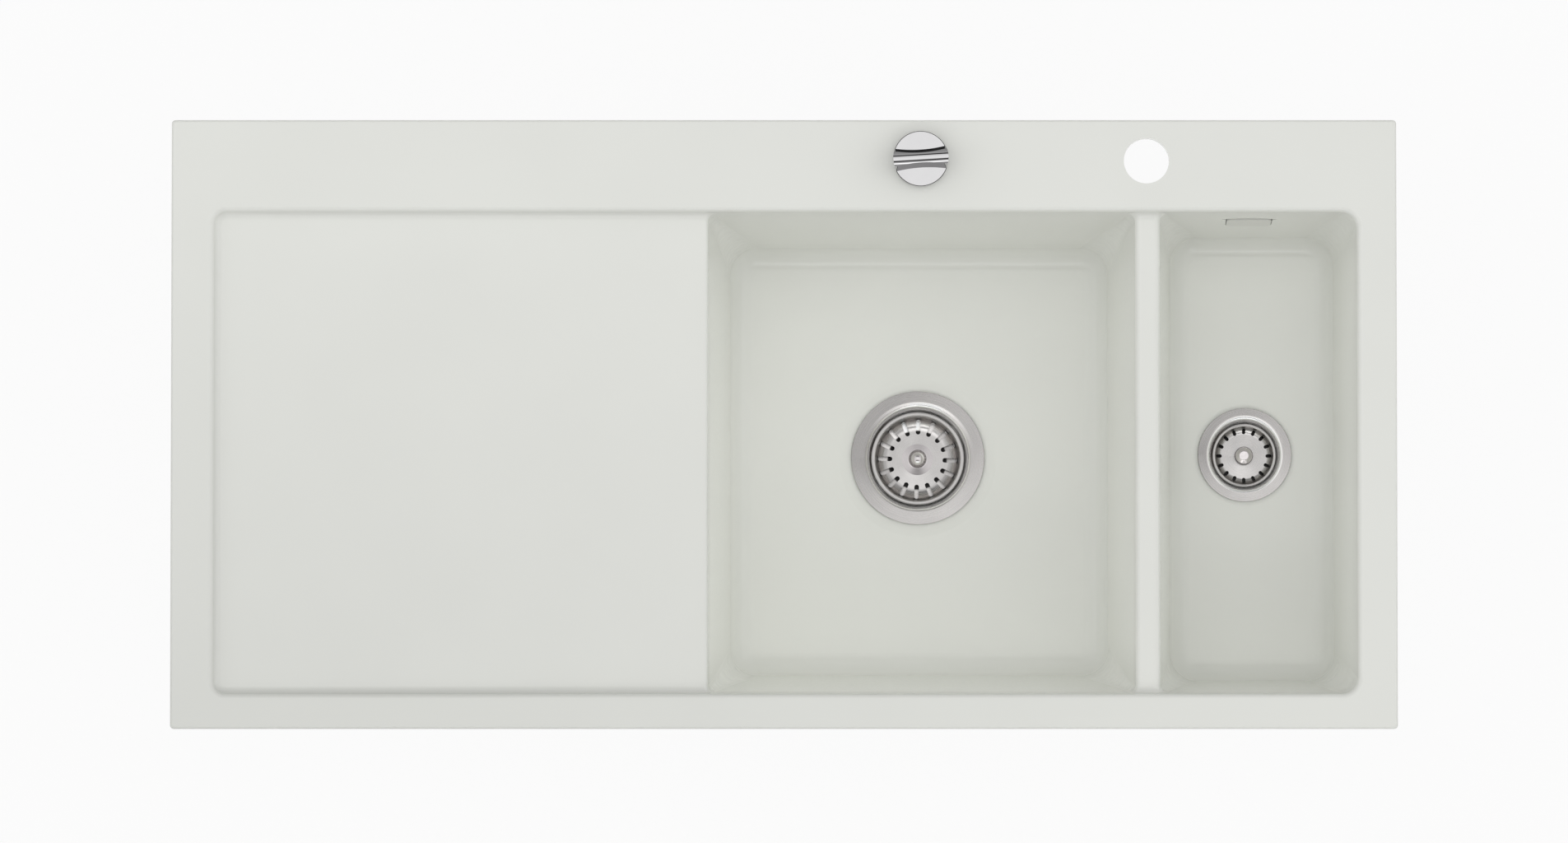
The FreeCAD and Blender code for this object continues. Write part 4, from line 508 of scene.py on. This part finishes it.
@dataclass(frozen=True)
class TurnedSteel:
    """Stainless steel with the fine rings of a rotary brush, and painted light and shade round
    its axis.
    """

    name: str
    centre: Pair
    colour: Colour
    roughness: float = 0.27
    rings: float = 1800.0
    depth: float = 0.06
    palest: float = 0.97
    sweep: PaintedSweep = PaintedSweep()
    accents: tuple[PaintedAccent, ...] = ()

    def build(self) -> bpy.types.Material:
        """Build the material.

        Returns:
            The material.
        """
        blank = Blank(self.name)
        sheet = blank.sheet
        at = {"Centre_X": self.centre[0], "Centre_Y": self.centre[1]}
        marks = EFFECTS.place(sheet, "turning", **at, Rings_per_Metre=self.rings)
        shade = blank.between(marks.outputs["Streaks"], self.colour, (0.96, 1.04))
        capped = sheet.add("ShaderNodeVectorMath", operation="MINIMUM")
        # painted light and shade scale the colour
        sheet.join(sheet.scaled(shade, self._painted_shading(sheet, at)), capped.inputs[0])
        capped.inputs[1].default_value = (self.palest,) * 3
        blank.colour(capped.outputs[0])
        blank.roughen(marks.outputs["Rings"], 0.12, self.roughness)
        blank.emboss(marks.outputs["Rings"], self.depth, 0.0003)
        blank.shader.inputs["Metallic"].default_value = 1.0
        return blank.material

    def _painted_shading(self, sheet: NodeSheet, at: dict[str, float]) -> Socket:
        """Factor of the painted sweep of light and shade and of all painted accents.

        Args:
            sheet: The material's node sheet.
            at: Centre of the rings.

        Returns:
            The factor.
        """
        turn = {"Across": self.sweep.across, "Along": self.sweep.along, "Sides": self.sweep.sides}
        tone = EFFECTS.place(sheet, "sweep", **at, **turn).outputs["Factor"]
        for painted_accent in self.accents:
            ring = {"Inner": painted_accent.inner, "Outer": painted_accent.outer, "Soft": painted_accent.soft}
            side = {"Facing_X": painted_accent.facing[0], "Facing_Y": painted_accent.facing[1]}
            rest = {"Power": painted_accent.power, "Top": painted_accent.top}
            mask = EFFECTS.place(sheet, "painted_accent", **at, **ring, **side, **rest).outputs["Mask"]
            # each painted ring lightens or darkens the colour: painted highlight or painted shade
            tone = sheet.times(tone, sheet.plus(1.0, sheet.times(mask, painted_accent.gain)))
        return tone


@dataclass(frozen=True)
class Polish:
    """Polished metal: chrome, brass or bright steel, with the faintest haze."""

    name: str
    colour: Colour
    roughness: float = 0.06

    def build(self) -> bpy.types.Material:
        """Build the material.

        Returns:
            The material.
        """
        blank = Blank(self.name)
        waves = EFFECTS.place(blank.sheet, "unevenness", Broad_Scale=60.0, Fine_Scale=1500.0)
        blank.colour(blank.between(waves.outputs["Broad"], self.colour, (0.98, 1.01)))
        blank.roughen(waves.outputs["Fine"], 0.03, self.roughness)
        blank.shader.inputs["Metallic"].default_value = 1.0
        return blank.material


@dataclass(frozen=True)
class Moulded:
    """Moulded plastic or rubber with a fine skin texture."""

    name: str
    colour: Colour
    roughness: float = 0.45
    grain: float = 1600.0
    depth: float = 0.12

    def build(self) -> bpy.types.Material:
        """Build the material.

        Returns:
            The material.
        """
        blank = Blank(self.name)
        waves = EFFECTS.place(blank.sheet, "unevenness", Broad_Scale=25.0, Fine_Scale=self.grain)
        blank.colour(blank.between(waves.outputs["Broad"], self.colour, (0.94, 1.04)))
        blank.roughen(waves.outputs["Broad"], 0.12, self.roughness)
        blank.emboss(waves.outputs["Fine"], self.depth, 0.0002)
        return blank.material


# ------------------------------------------------------------------ dressing the rigid pieces
def dress(
    nodes: dict[str, bpy.types.Object], names: Iterable[str], material: bpy.types.Material
) -> None:
    """Give a material to whole pieces of the frame.

    Args:
        nodes: Pieces of the frame by name.
        names: Pieces to dress.
        material: The finish they get.
    """
    for name in names:
        for slot in nodes[name].material_slots:
            slot.material = material
        LOG.info("dressed %s with %s", name, material.name)


# ------------------------------------------------------------------ control knob
class Cut(Enum):
    """What a tool does to the piece that it meets."""

    TAKE = "DIFFERENCE"
    KEEP = "INTERSECT"
    JOIN = "UNION"


def turned(name: str, radii: Pair, heights: Pair, at: Vector) -> bpy.types.Object:
    """Add a finely divided cylinder or cone that stands upright.

    Args:
        name: Name of the object.
        radii: Radius at its lower and upper end.
        heights: Heights of its lower and upper end.
        at: Place of its axis.

    Returns:
        The object, its place still in the object.
    """
    low, high = heights
    bpy.ops.object.select_all(action="DESELECT")
    bpy.ops.mesh.primitive_cone_add(
        vertices=256,
        radius1=radii[0],
        radius2=radii[1],
        depth=high - low,
        location=(at.x, at.y, (low + high) / 2),
    )
    piece = bpy.context.active_object
    piece.name = name
    return piece


def settle(piece: bpy.types.Object) -> None:
    """Put a piece's place, turn and scale into its mesh.

    Args:
        piece: The piece.
    """
    bpy.ops.object.select_all(action="DESELECT")
    piece.select_set(True)
    bpy.context.view_layer.objects.active = piece
    bpy.ops.object.transform_apply(location=True, rotation=True, scale=True)


def carve(piece: bpy.types.Object, tool: bpy.types.Object, how: Cut) -> None:
    """Cut or join a piece with a tool and delete the tool.

    Args:
        piece: Piece that stays.
        tool: Piece that works on it.
        how: What the tool does.
    """
    settle(tool)
    settle(piece)
    cut = piece.modifiers.new("cut", "BOOLEAN")
    cut.operation = how.value
    cut.solver = "EXACT"
    cut.object = tool
    bpy.ops.object.modifier_apply(modifier=cut.name)
    bpy.data.objects.remove(tool, do_unlink=True)


@dataclass(frozen=True)
class ControlKnob:
    """Chromed knob: a chamfered disc and a waisted grip bar with a rounded back."""

    centre: Pair = (0.1115, 0.216)
    low: float = 0.0163
    flat: float = 0.0240
    top: float = 0.0370
    radius: float = 0.0225
    edge: Pair = (0.0016, 0.00134)  # width and height of the disc's chamfer
    waist: float = 0.0147
    ends: float = 0.0185
    ends_at: float = 0.92  # part of the radius at which the bar has its ends' width
    spread: float = 0.00355  # how far each flank leans out from the back to the foot
    crown: float = 0.0098  # radius of the bar's rounded back
    crown_depth: float = 0.0022
    turn: float = math.radians(3.5)
    cavity: Pair = (0.0190, 0.0193)  # radius and roof of the hollow
    spindle: Pair = (0.00406, 0.0284)  # radius and end of the spindle's bore
    grub: Pair = (0.00156, 0.0212)  # radius and height of the screw's hole
    past: float = 0.001  # how far a tool reaches past the knob
    crown_length: float = 0.06

    def build(self, chrome: bpy.types.Material) -> None:
        """Model the knob and let it stand for the frame's one.

        Args:
            chrome: Finish of the knob.
        """
        at = Vector((*self.centre, 0.0))
        knob = turned("grip_knob", (self.radius, self.radius), (self.low, self.top), at)
        settle(knob)
        self._round_back(knob, at)
        self._hollow_flanks(knob, at)
        self._chamfer(knob, at)
        self._bore(knob, at)
        self._turn(knob, at)
        self._finish(knob, at, chrome)
        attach(knob, "knob")
        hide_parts("control_knob")
        LOG.info("modelled %s with %d faces", knob.name, len(knob.data.polygons))

    def _round_back(self, knob: bpy.types.Object, at: Vector) -> None:
        """Round the bar's back along its length, and keep the disc below whole.

        Args:
            knob: The knob.
            at: Place of its axis.
        """
        tool = turned("crown", (self.crown, self.crown), (0.0, self.crown_length), at)
        tool.rotation_euler = (0.0, math.pi / 2, 0.0)
        tool.location = (at.x, at.y, self.top - self.crown)
        wide = self.radius * 1.1
        heights = (self.low - self.past, self.top - self.crown_depth)
        carve(tool, turned("disc", (wide, wide), heights, at), Cut.JOIN)
        carve(knob, tool, Cut.KEEP)

    def _hollow_flanks(self, knob: bpy.types.Object, at: Vector) -> None:
        """Cut the finger recess beside the bar on both sides.

        Args:
            knob: The knob.
            at: Place of its axis.
        """
        belly = (self.ends - self.waist) / 2
        reach = (self.radius * self.ends_at) ** 2 / (2 * belly)
        rise = self.top + 2 * self.past - self.flat
        slope = self.spread / (self.top - self.flat)
        for side in (1.0, -1.0):
            axis = at + Vector((0.0, side * (self.waist / 2 + reach), 0.0))
            radii = (reach, reach + slope * rise)
            tool = turned("recess", radii, (self.flat, self.flat + rise), axis)
            carve(knob, tool, Cut.TAKE)

    def _chamfer(self, knob: bpy.types.Object, at: Vector) -> None:
        """Bevel the disc's upper edge, a little flatter than evenly.

        Args:
            knob: The knob.
            at: Place of its axis.
        """
        settle(knob)
        bpy.ops.object.mode_set(mode="EDIT")
        bpy.ops.mesh.select_all(action="SELECT")
        bpy.ops.mesh.remove_doubles(threshold=MERGE)
        bpy.ops.mesh.dissolve_limited(angle_limit=math.radians(0.4))
        bpy.ops.mesh.select_all(action="DESELECT")
        bpy.ops.object.mode_set(mode="OBJECT")
        mesh = knob.data
        wide, deep = self.edge

        def on_rim(point: Vector, height: float) -> bool:
            """Whether a point is on the disc's side at a height."""
            return abs(point.z - height) < TOUCH and (point - at).xy.length > self.radius - TOUCH

        for edge in mesh.edges:
            edge.select = all(on_rim(mesh.vertices[end].co, self.flat) for end in edge.vertices)
        bpy.ops.object.mode_set(mode="EDIT")
        bpy.ops.mesh.select_mode(type="EDGE")
        bpy.ops.mesh.bevel(offset=wide, segments=1, clamp_overlap=True)
        bpy.ops.mesh.select_all(action="DESELECT")
        bpy.ops.mesh.select_mode(type="VERT")
        bpy.ops.object.mode_set(mode="OBJECT")
        for vertex in mesh.vertices:
            vertex.select = on_rim(vertex.co, self.flat - wide)
        bpy.ops.object.mode_set(mode="EDIT")
        bpy.ops.transform.translate(value=(0.0, 0.0, wide - deep))
        bpy.ops.mesh.select_all(action="DESELECT")
        bpy.ops.object.mode_set(mode="OBJECT")

    def _bore(self, knob: bpy.types.Object, at: Vector) -> None:
        """Cut the hollow, the spindle's bore and the grub screw's hole.

        Args:
            knob: The knob.
            at: Place of its axis.
        """
        hollow, roof = self.cavity
        tool = turned("hollow", (hollow, hollow), (self.low - 2 * self.past, roof), at)
        carve(knob, tool, Cut.TAKE)
        bore, end = self.spindle
        carve(knob, turned("bore", (bore, bore), (roof - self.past, end), at), Cut.TAKE)
        hole, height = self.grub
        tool = turned("screw_hole", (hole, hole), (0.0, self.radius), at)
        tool.rotation_euler = (-math.pi / 2, 0.0, 0.0)
        tool.location = (at.x, at.y + self.radius / 2, height)
        carve(knob, tool, Cut.TAKE)

    def _turn(self, knob: bpy.types.Object, at: Vector) -> None:
        """Turn the mesh to the bar's rest and make it smooth.

        Args:
            knob: The knob.
            at: Place of its axis.
        """
        bpy.ops.object.mode_set(mode="EDIT")
        bpy.ops.mesh.select_all(action="SELECT")
        centre = (at.x, at.y, 0.0)
        bpy.ops.transform.rotate(value=-self.turn, orient_axis="Z", center_override=centre)
        bpy.ops.mesh.remove_doubles(threshold=MERGE)
        bpy.ops.mesh.normals_make_consistent(inside=False)
        bpy.ops.object.mode_set(mode="OBJECT")
        bpy.ops.object.shade_smooth_by_angle(angle=math.radians(32.0))

    def _finish(self, knob: bpy.types.Object, at: Vector, chrome: bpy.types.Material) -> None:
        """Give the chamfer, but for its front, and the bar's rear flank darker copies of the
        chrome, a painted dark reflection.

        Args:
            knob: The knob.
            at: Place of its axis.
            chrome: Finish of the rest of it.
        """
        # painted dark reflection: darker copies of the chrome for the chamfer and the rear flank
        rim = Polish("chrome_rim_painted_reflection", (0.030, 0.032, 0.034), 0.06).build()
        flank = Polish("chrome_flank_painted_reflection", (0.115, 0.130, 0.135), 0.05).build()
        knob.data.materials.clear()
        for finish in (chrome, rim, flank):
            knob.data.materials.append(finish)
        for face in knob.data.polygons:
            out, place = face.normal, face.center - at
            slanted = 0.5 < out.z < 0.95 and place.xy.length > self.radius - 0.002
            if slanted and place.z < self.flat and place.y > -0.8 * self.radius:
                face.material_index = 1
            elif out.y > 0.7 and place.z > self.flat and place.y > 0.0:
                face.material_index = 2


# ------------------------------------------------------------------ strainers
@dataclass(frozen=True)
class Waste:
    """Finishes of one basket waste, from its radii and the height of the bowl's floor."""

    name: str
    centre: Pair
    floor: float
    roll: Pair  # flange's rounded inner edge
    bend: Pair  # basket's rounded foot
    wall: Pair  # basket's steep wall
    opening: float  # opening in the cup's floor
    below: float  # depth under the basket
    light: Pair  # side that the painted bright crescents face
    groove: Pair = (0.0, 0.0)  # painted shade line at the grip's edge
    grip: float = 0.0078  # radius of the basket's grip
    shine: tuple[PaintedAccent, ...] = ()  # painted highlights on the grip

    def dress(self, nodes: dict[str, bpy.types.Object]) -> None:
        """Dress the cup, the basket and its grip.

        Args:
            nodes: Pieces of the frame by name.
        """
        dress(nodes, [self.name + "_strainer_cup"], self._cup().build())
        dress(nodes, [self.name + "_basket"], self._basket().build())
        dress(nodes, [self.name + "_basket_knob"], self._grip().build())

    def _cup(self) -> TurnedSteel:
        """Brushed cup with painted highlights on its rolled edge, painted shade in its outlet and
        painted light and shade round its axis.

        Returns:
            The cup's steel.
        """
        deep = self.floor - self.below
        start = self.roll[0]
        accents = (
            # painted highlight: crescent on the rolled edge
            PaintedAccent(*self.roll, 1.3, self.light, 3.0),
            # painted highlight: thin line on the roll's left
            PaintedAccent(start, start + 0.0022, 1.0, (-1.0, -0.1), 2.0),
            # painted light all round the shaded gap under the roll
            PaintedAccent(start - 0.002, start + 0.003, 1.5),
            # painted shade: the outlet under the basket made near black
            PaintedAccent(0.0, self.opening, -0.96, top=deep),
            # painted highlight: lit cup wall seen through the slots
            PaintedAccent(self.opening, start, 1.4, (-0.5, 0.85), 1.0, top=deep),
        )
        # painted light and shade round the cup's axis
        sweep = PaintedSweep(0.096, -0.146, -0.30)
        colour = (0.55, 0.533, 0.522)
        name = self.name + "_cup_steel"
        return TurnedSteel(name, self.centre, colour, sweep=sweep, accents=accents)

    def _basket(self) -> TurnedSteel:
        """Pressed basket with a painted highlight on its bend, and painted shade and light on its
        bend, wall and floor.

        Returns:
            The basket's steel.
        """
        accents = (
            # painted shade on the bend all round
            PaintedAccent(self.bend[0] + 0.001, self.bend[1], -0.15),
            # painted light on the steep wall
            PaintedAccent(*self.wall, 0.7),
            # painted highlight: crescent on the bend
            PaintedAccent(*self.bend, 1.3, self.light, 4.0, soft=0.003),
            # painted highlight on the floor below the grip
            PaintedAccent(self.grip, self.bend[0], 0.25, (-0.2, -1.0), 3.0),
        )
        name = self.name + "_basket_steel"
        return TurnedSteel(name, self.centre, (0.45, 0.438, 0.43), accents=accents)

    def _grip(self) -> TurnedSteel:
        """Smooth grip with painted shade at its foot and along its edge line, and painted
        highlights.

        Returns:
            The grip's steel.
        """
        # painted shade at the grip's foot
        foot = PaintedAccent(self.grip, 0.02, -0.22)
        # painted shade line at the grip's edge
        line = PaintedAccent(*self.groove, -0.5, soft=0.0003)
        name, colour = self.name + "_grip_steel", (0.62, 0.59, 0.59)
        accents = (foot, line, *self.shine)
        return TurnedSteel(name, self.centre, colour, 0.18, depth=0.01, accents=accents)


MAIN_WASTE = Waste(
    name="main",
    centre=(0.1115, -0.019),
    floor=-0.173,
    roll=(0.0402, 0.0466),
    bend=(0.0248, 0.0305),
    wall=(0.0300, 0.0356),
    opening=0.0248,
    below=0.031,
    light=(0.15, 0.99),
    # painted highlights on the grip
    shine=(
        PaintedAccent(0.0022, 0.0042, 1.2, (0.0, -1.0), 5.0),
        PaintedAccent(0.0042, 0.0056, 0.9, (0.85, 0.52), 4.0),
    ),
)
SMALL_WASTE = Waste(
    name="small",
    centre=(0.38145, -0.019),
    floor=-0.121,
    roll=(0.0282, 0.0326),
    bend=(0.0190, 0.0222),
    wall=(0.0212, 0.0246),
    opening=0.0236,
    below=0.0185,
    light=(0.1, 1.0),
    # painted shade line at the grip's edge
    groove=(0.0070, 0.0077),
    # painted highlight on the grip
    shine=(PaintedAccent(0.0035, 0.0060, 0.5, (-0.6, -0.8), 3.0),),
)


@dataclass
class Sink:
    """The whole sink: gives each piece of the frame its finish."""

    def build(self, nodes: dict[str, bpy.types.Object]) -> None:
        """Dress every piece and model the knob.

        Args:
            nodes: Pieces of the frame by name.
        """
        # painted shade on the rim and painted light on the bowls' floors, towards the front left
        ceramic = Glaze(painted_shade=0.15, lift=0.095).build()
        dress(nodes, ["sink_body"], ceramic)
        for waste in (MAIN_WASTE, SMALL_WASTE):
            waste.dress(nodes)
        chrome = Polish("chrome", (0.54, 0.535, 0.54), 0.04).build()
        dress(nodes, ["control_knob", "knob_base_ring"], chrome)
        ControlKnob().build(chrome)
        brass = Polish("turned_brass", (0.72, 0.56, 0.28), 0.28).build()
        stems = ["knob_bush", "knob_lock_nut", "knob_spindle"]
        dress(nodes, stems + ["main_fixing_screw", "small_fixing_screw"], brass)
        zinc = Polish("zinc_plating", (0.60, 0.62, 0.63), 0.32).build()
        plated = ["knob_washer", "knob_grub_screw", "cable_box_screws", "overflow_screws"]
        rods = ["cable_rod_upper", "cable_rod_lower", "rocker_pivot", "lift_pin"]
        dress(nodes, plated + ["hose_clips"] + rods, zinc)
        white = Moulded("white_plastic", (0.80, 0.80, 0.78), 0.42).build()
        moulded = ["main_outlet_body", "small_outlet_body", "overflow_frame", "overflow_elbow"]
        nuts = [joint + "_slip_nut" for joint in ("main", "small", "tee", "elbow")]
        pipes = ["outlet_tee", "drop_elbow", "connecting_pipe", "cable_gland_lower"]
        dress(nodes, moulded + nuts + pipes, white)
        black = Moulded("black_plastic", (0.030, 0.031, 0.034), 0.40).build()
        levers = ["main_plug_carrier", "small_plug_carrier", "rocker_lever", "crank_disc"]
        cable = ["cable_box", "cable_box_lid", "cable_gland_upper", "bowden_sheath"]
        dress(nodes, levers + cable, black)
        rubber = Moulded("black_rubber", (0.022, 0.022, 0.023), 0.72, 900.0, 0.25).build()
        seals = [joint + "_slip_seal" for joint in ("main", "small", "tee", "elbow")]
        rings = ["flange_gasket", "body_gasket", "plug_seal"]
        gaskets = [name + "_" + ring for name in ("main", "small") for ring in rings]
        dress(nodes, seals + gaskets + ["knob_gasket", "overflow_gasket"], rubber)
        hose = Moulded("pale_hose", (0.55, 0.56, 0.56), 0.5).build()
        dress(nodes, ["overflow_hose"], hose)
        cover = Glaze("cover_enamel", (0.74, 0.742, 0.705), 0.25).build()
        dress(nodes, ["overflow_cover"], cover)


# ------------------------------------------------------------------ studio
@dataclass(frozen=True)
class Band:
    """A band across the sky, in parts of a direction."""

    side: float  # its middle along Y
    reach: Pair  # how far it goes to each side of that, full and faded out
    span: Pair  # how far it goes along X, full and faded out

    def mask(self, sheet: NodeSheet, x: Socket, y: Socket, full: float = 1.0) -> Socket:
        """A full value inside the band and nothing outside.

        Args:
            sheet: The world's node sheet.
            x: Direction's part along X.
            y: Direction's part along Y.
            full: Value inside the band.

        Returns:
            The mask.
        """
        beside = sheet.maths("ABSOLUTE", sheet.minus(y, self.side))
        across = sheet.fade(beside, self.reach, (full, 0.0))
        along = sheet.fade(sheet.maths("ABSOLUTE", x), self.span, (1.0, 0.0))
        return sheet.times(across, along)


@dataclass(frozen=True)
class Sky:
    """Light of the studio by direction, as one value for lighting and reflections."""

    even: float = 0.40
    ceiling: float = 0.83
    dome: float = 0.15
    sides: float = 1.04
    lean: float = 0.12  # how much brighter the right-hand wall is
    front: float = 0.15
    low: Pair = (0.10, 0.30)  # between these heights of a direction the walls fade in
    card: Band = Band(0.50, (0.07, 0.11), (0.26, 0.34))  # dark card over the back
    gap: Band = Band(-0.37, (0.09, 0.13), (0.26, 0.34))  # dark gap before the strip light
    dark: float = 0.92  # how dark the card and the gap are
    strip: Band = Band(-0.70, (0.05, 0.09), (0.22, 0.38))  # strip light over the front
    strip_light: float = 1.4

    def glow(self, sheet: NodeSheet, x: Socket, y: Socket, z: Socket) -> Socket:
        """Add the nodes that give the light from a direction.

        Args:
            sheet: The world's node sheet.
            x: Direction's part along X.
            y: Direction's part along Y.
            z: Direction's part along Z.

        Returns:
            The strength of the light.
        """
        high = sheet.at_least(z, 0.0)
        above = sheet.maths("GREATER_THAN", z, 0.0)
        total = sheet.times(sheet.maths("POWER", high, 8.0), self.ceiling)
        dome = sheet.times(sheet.maths("POWER", high, 2.0), self.dome)
        total = sheet.plus(sheet.plus(total, dome), self.even)
        walls = sheet.times(sheet.times(x, x), self.sides)
        walls = sheet.times(walls, sheet.plus(sheet.times(x, self.lean), 1.0))
        total = sheet.times(sheet.plus(total, walls), sheet.fade(z, self.low, (0.0, 1.0)))
        ahead = sheet.maths("POWER", sheet.at_least(sheet.times(y, -1.0), 0.0), 12.0)
        total = sheet.plus(total, sheet.times(sheet.times(ahead, above), self.front))
        strip = self.strip.mask(sheet, x, y, self.strip_light)
        total = sheet.plus(total, sheet.times(strip, above))
        shut = sheet.at_least(self.card.mask(sheet, x, y), self.gap.mask(sheet, x, y))
        return sheet.times(total, sheet.minus(1.0, sheet.times(shut, self.dark)))


@dataclass(frozen=True)
class Studio:
    """Pale floor, soft surroundings and the camera high over the sink."""

    frame_width: float = 1.2785  # width of the picture in the plane of the rim
    rise: float = 8.3
    forward: float = 0.425
    aim: float = 0.002  # how far behind the sink's middle the camera looks
    rim: float = 0.012
    sensor: float = 36.0
    farthest: float = 60.0
    floor_side: float = 14.0
    floor_shade: float = 0.86
    floor_white: float = 0.9  # how white the floor looks; the rest keeps its shadow
    sky: Sky = Sky()

    def build(self, low: float) -> None:
        """Build the studio.

        Args:
            low: Height of the floor.
        """
        self._floor(low)
        self._world()
        self._camera()
        LOG.info("studio stands at %.4f", low)

    def _floor(self, low: float) -> None:
        """A large pale floor that keeps a faint shadow.

        Args:
            low: Height of the floor.
        """
        bpy.ops.mesh.primitive_plane_add(size=self.floor_side, location=(0.0, 0.0, low))
        floor = bpy.context.active_object
        floor.name = "studio_floor"
        material = bpy.data.materials.new("pale_floor")
        material.use_nodes = True
        sheet = NodeSheet(material.node_tree)
        material.node_tree.nodes.clear()
        matt = sheet.add("ShaderNodeBsdfDiffuse")
        matt.inputs["Color"].default_value = (*(self.floor_shade,) * 3, 1.0)
        glow = sheet.add("ShaderNodeEmission")
        glow.inputs["Strength"].default_value = 1.0
        path = sheet.add("ShaderNodeLightPath")
        seen = sheet.plus(path.outputs["Is Camera Ray"], path.outputs["Is Glossy Ray"])
        seen = sheet.plus(seen, path.outputs["Is Transmission Ray"])
        seen = sheet.times(sheet.maths("MINIMUM", seen, 1.0), self.floor_white)
        mix = sheet.add("ShaderNodeMixShader")
        sheet.join(seen, mix.inputs[0])
        sheet.join(matt.outputs[0], mix.inputs[1])
        sheet.join(glow.outputs[0], mix.inputs[2])
        out = sheet.add("ShaderNodeOutputMaterial")
        sheet.join(mix.outputs[0], out.inputs["Surface"])
        floor.data.materials.append(material)
        floor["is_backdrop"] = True

    def _world(self) -> None:
        """White to the camera; the studio's sky for light and reflections."""
        world = bpy.data.worlds.new("studio_world")
        bpy.context.scene.world = world
        world.use_nodes = True
        sheet = NodeSheet(world.node_tree)
        world.node_tree.nodes.clear()
        light = self.sky.glow(sheet, *sheet.parts("Generated"))
        path = sheet.add("ShaderNodeLightPath")
        mix = sheet.add("ShaderNodeMix", data_type="FLOAT")
        sheet.join(path.outputs["Is Camera Ray"], mix.inputs["Factor"])
        sheet.join(light, mix.inputs["A"])
        mix.inputs["B"].default_value = 1.0
        glow = sheet.add("ShaderNodeBackground")
        glow.inputs["Color"].default_value = (1.0, 1.0, 1.0, 1.0)
        sheet.join(mix.outputs["Result"], glow.inputs["Strength"])
        out = sheet.add("ShaderNodeOutputWorld")
        sheet.join(glow.outputs[0], out.inputs["Surface"])

    def _camera(self) -> None:
        """The camera, aimed at the middle of the rim from high up and slightly in front."""
        data = bpy.data.cameras.new("camera")
        camera = bpy.data.objects.new("camera", data)
        bpy.context.scene.collection.objects.link(camera)
        middle = Vector((0.0, self.aim, self.rim))
        place = Vector((0.0, -self.forward, self.rim + self.rise))
        camera.location = place
        camera.rotation_euler = (middle - place).to_track_quat("-Z", "Y").to_euler()
        data.sensor_fit = "HORIZONTAL"
        data.sensor_width = self.sensor
        data.lens = self.sensor * (middle - place).length / self.frame_width
        data.clip_end = self.farthest
        bpy.context.scene.camera = camera


def record_sizes() -> None:
    """Update the view layer.
    """
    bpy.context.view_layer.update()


def main() -> None:
    """Build the finishes, dress the sink and set up the studio."""
    logging.basicConfig(level=logging.INFO, format="%(name)s: %(message)s")
    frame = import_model()
    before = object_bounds()
    bpy.ops.object.select_all(action="DESELECT")
    bpy.context.scene.view_settings.view_transform = "Standard"
    EFFECTS.build()
    Sink().build(frame["nodes"])
    Studio().build(before[0][2] - 0.0005)
    record_sizes()


if __name__ == "__main__":
    main()
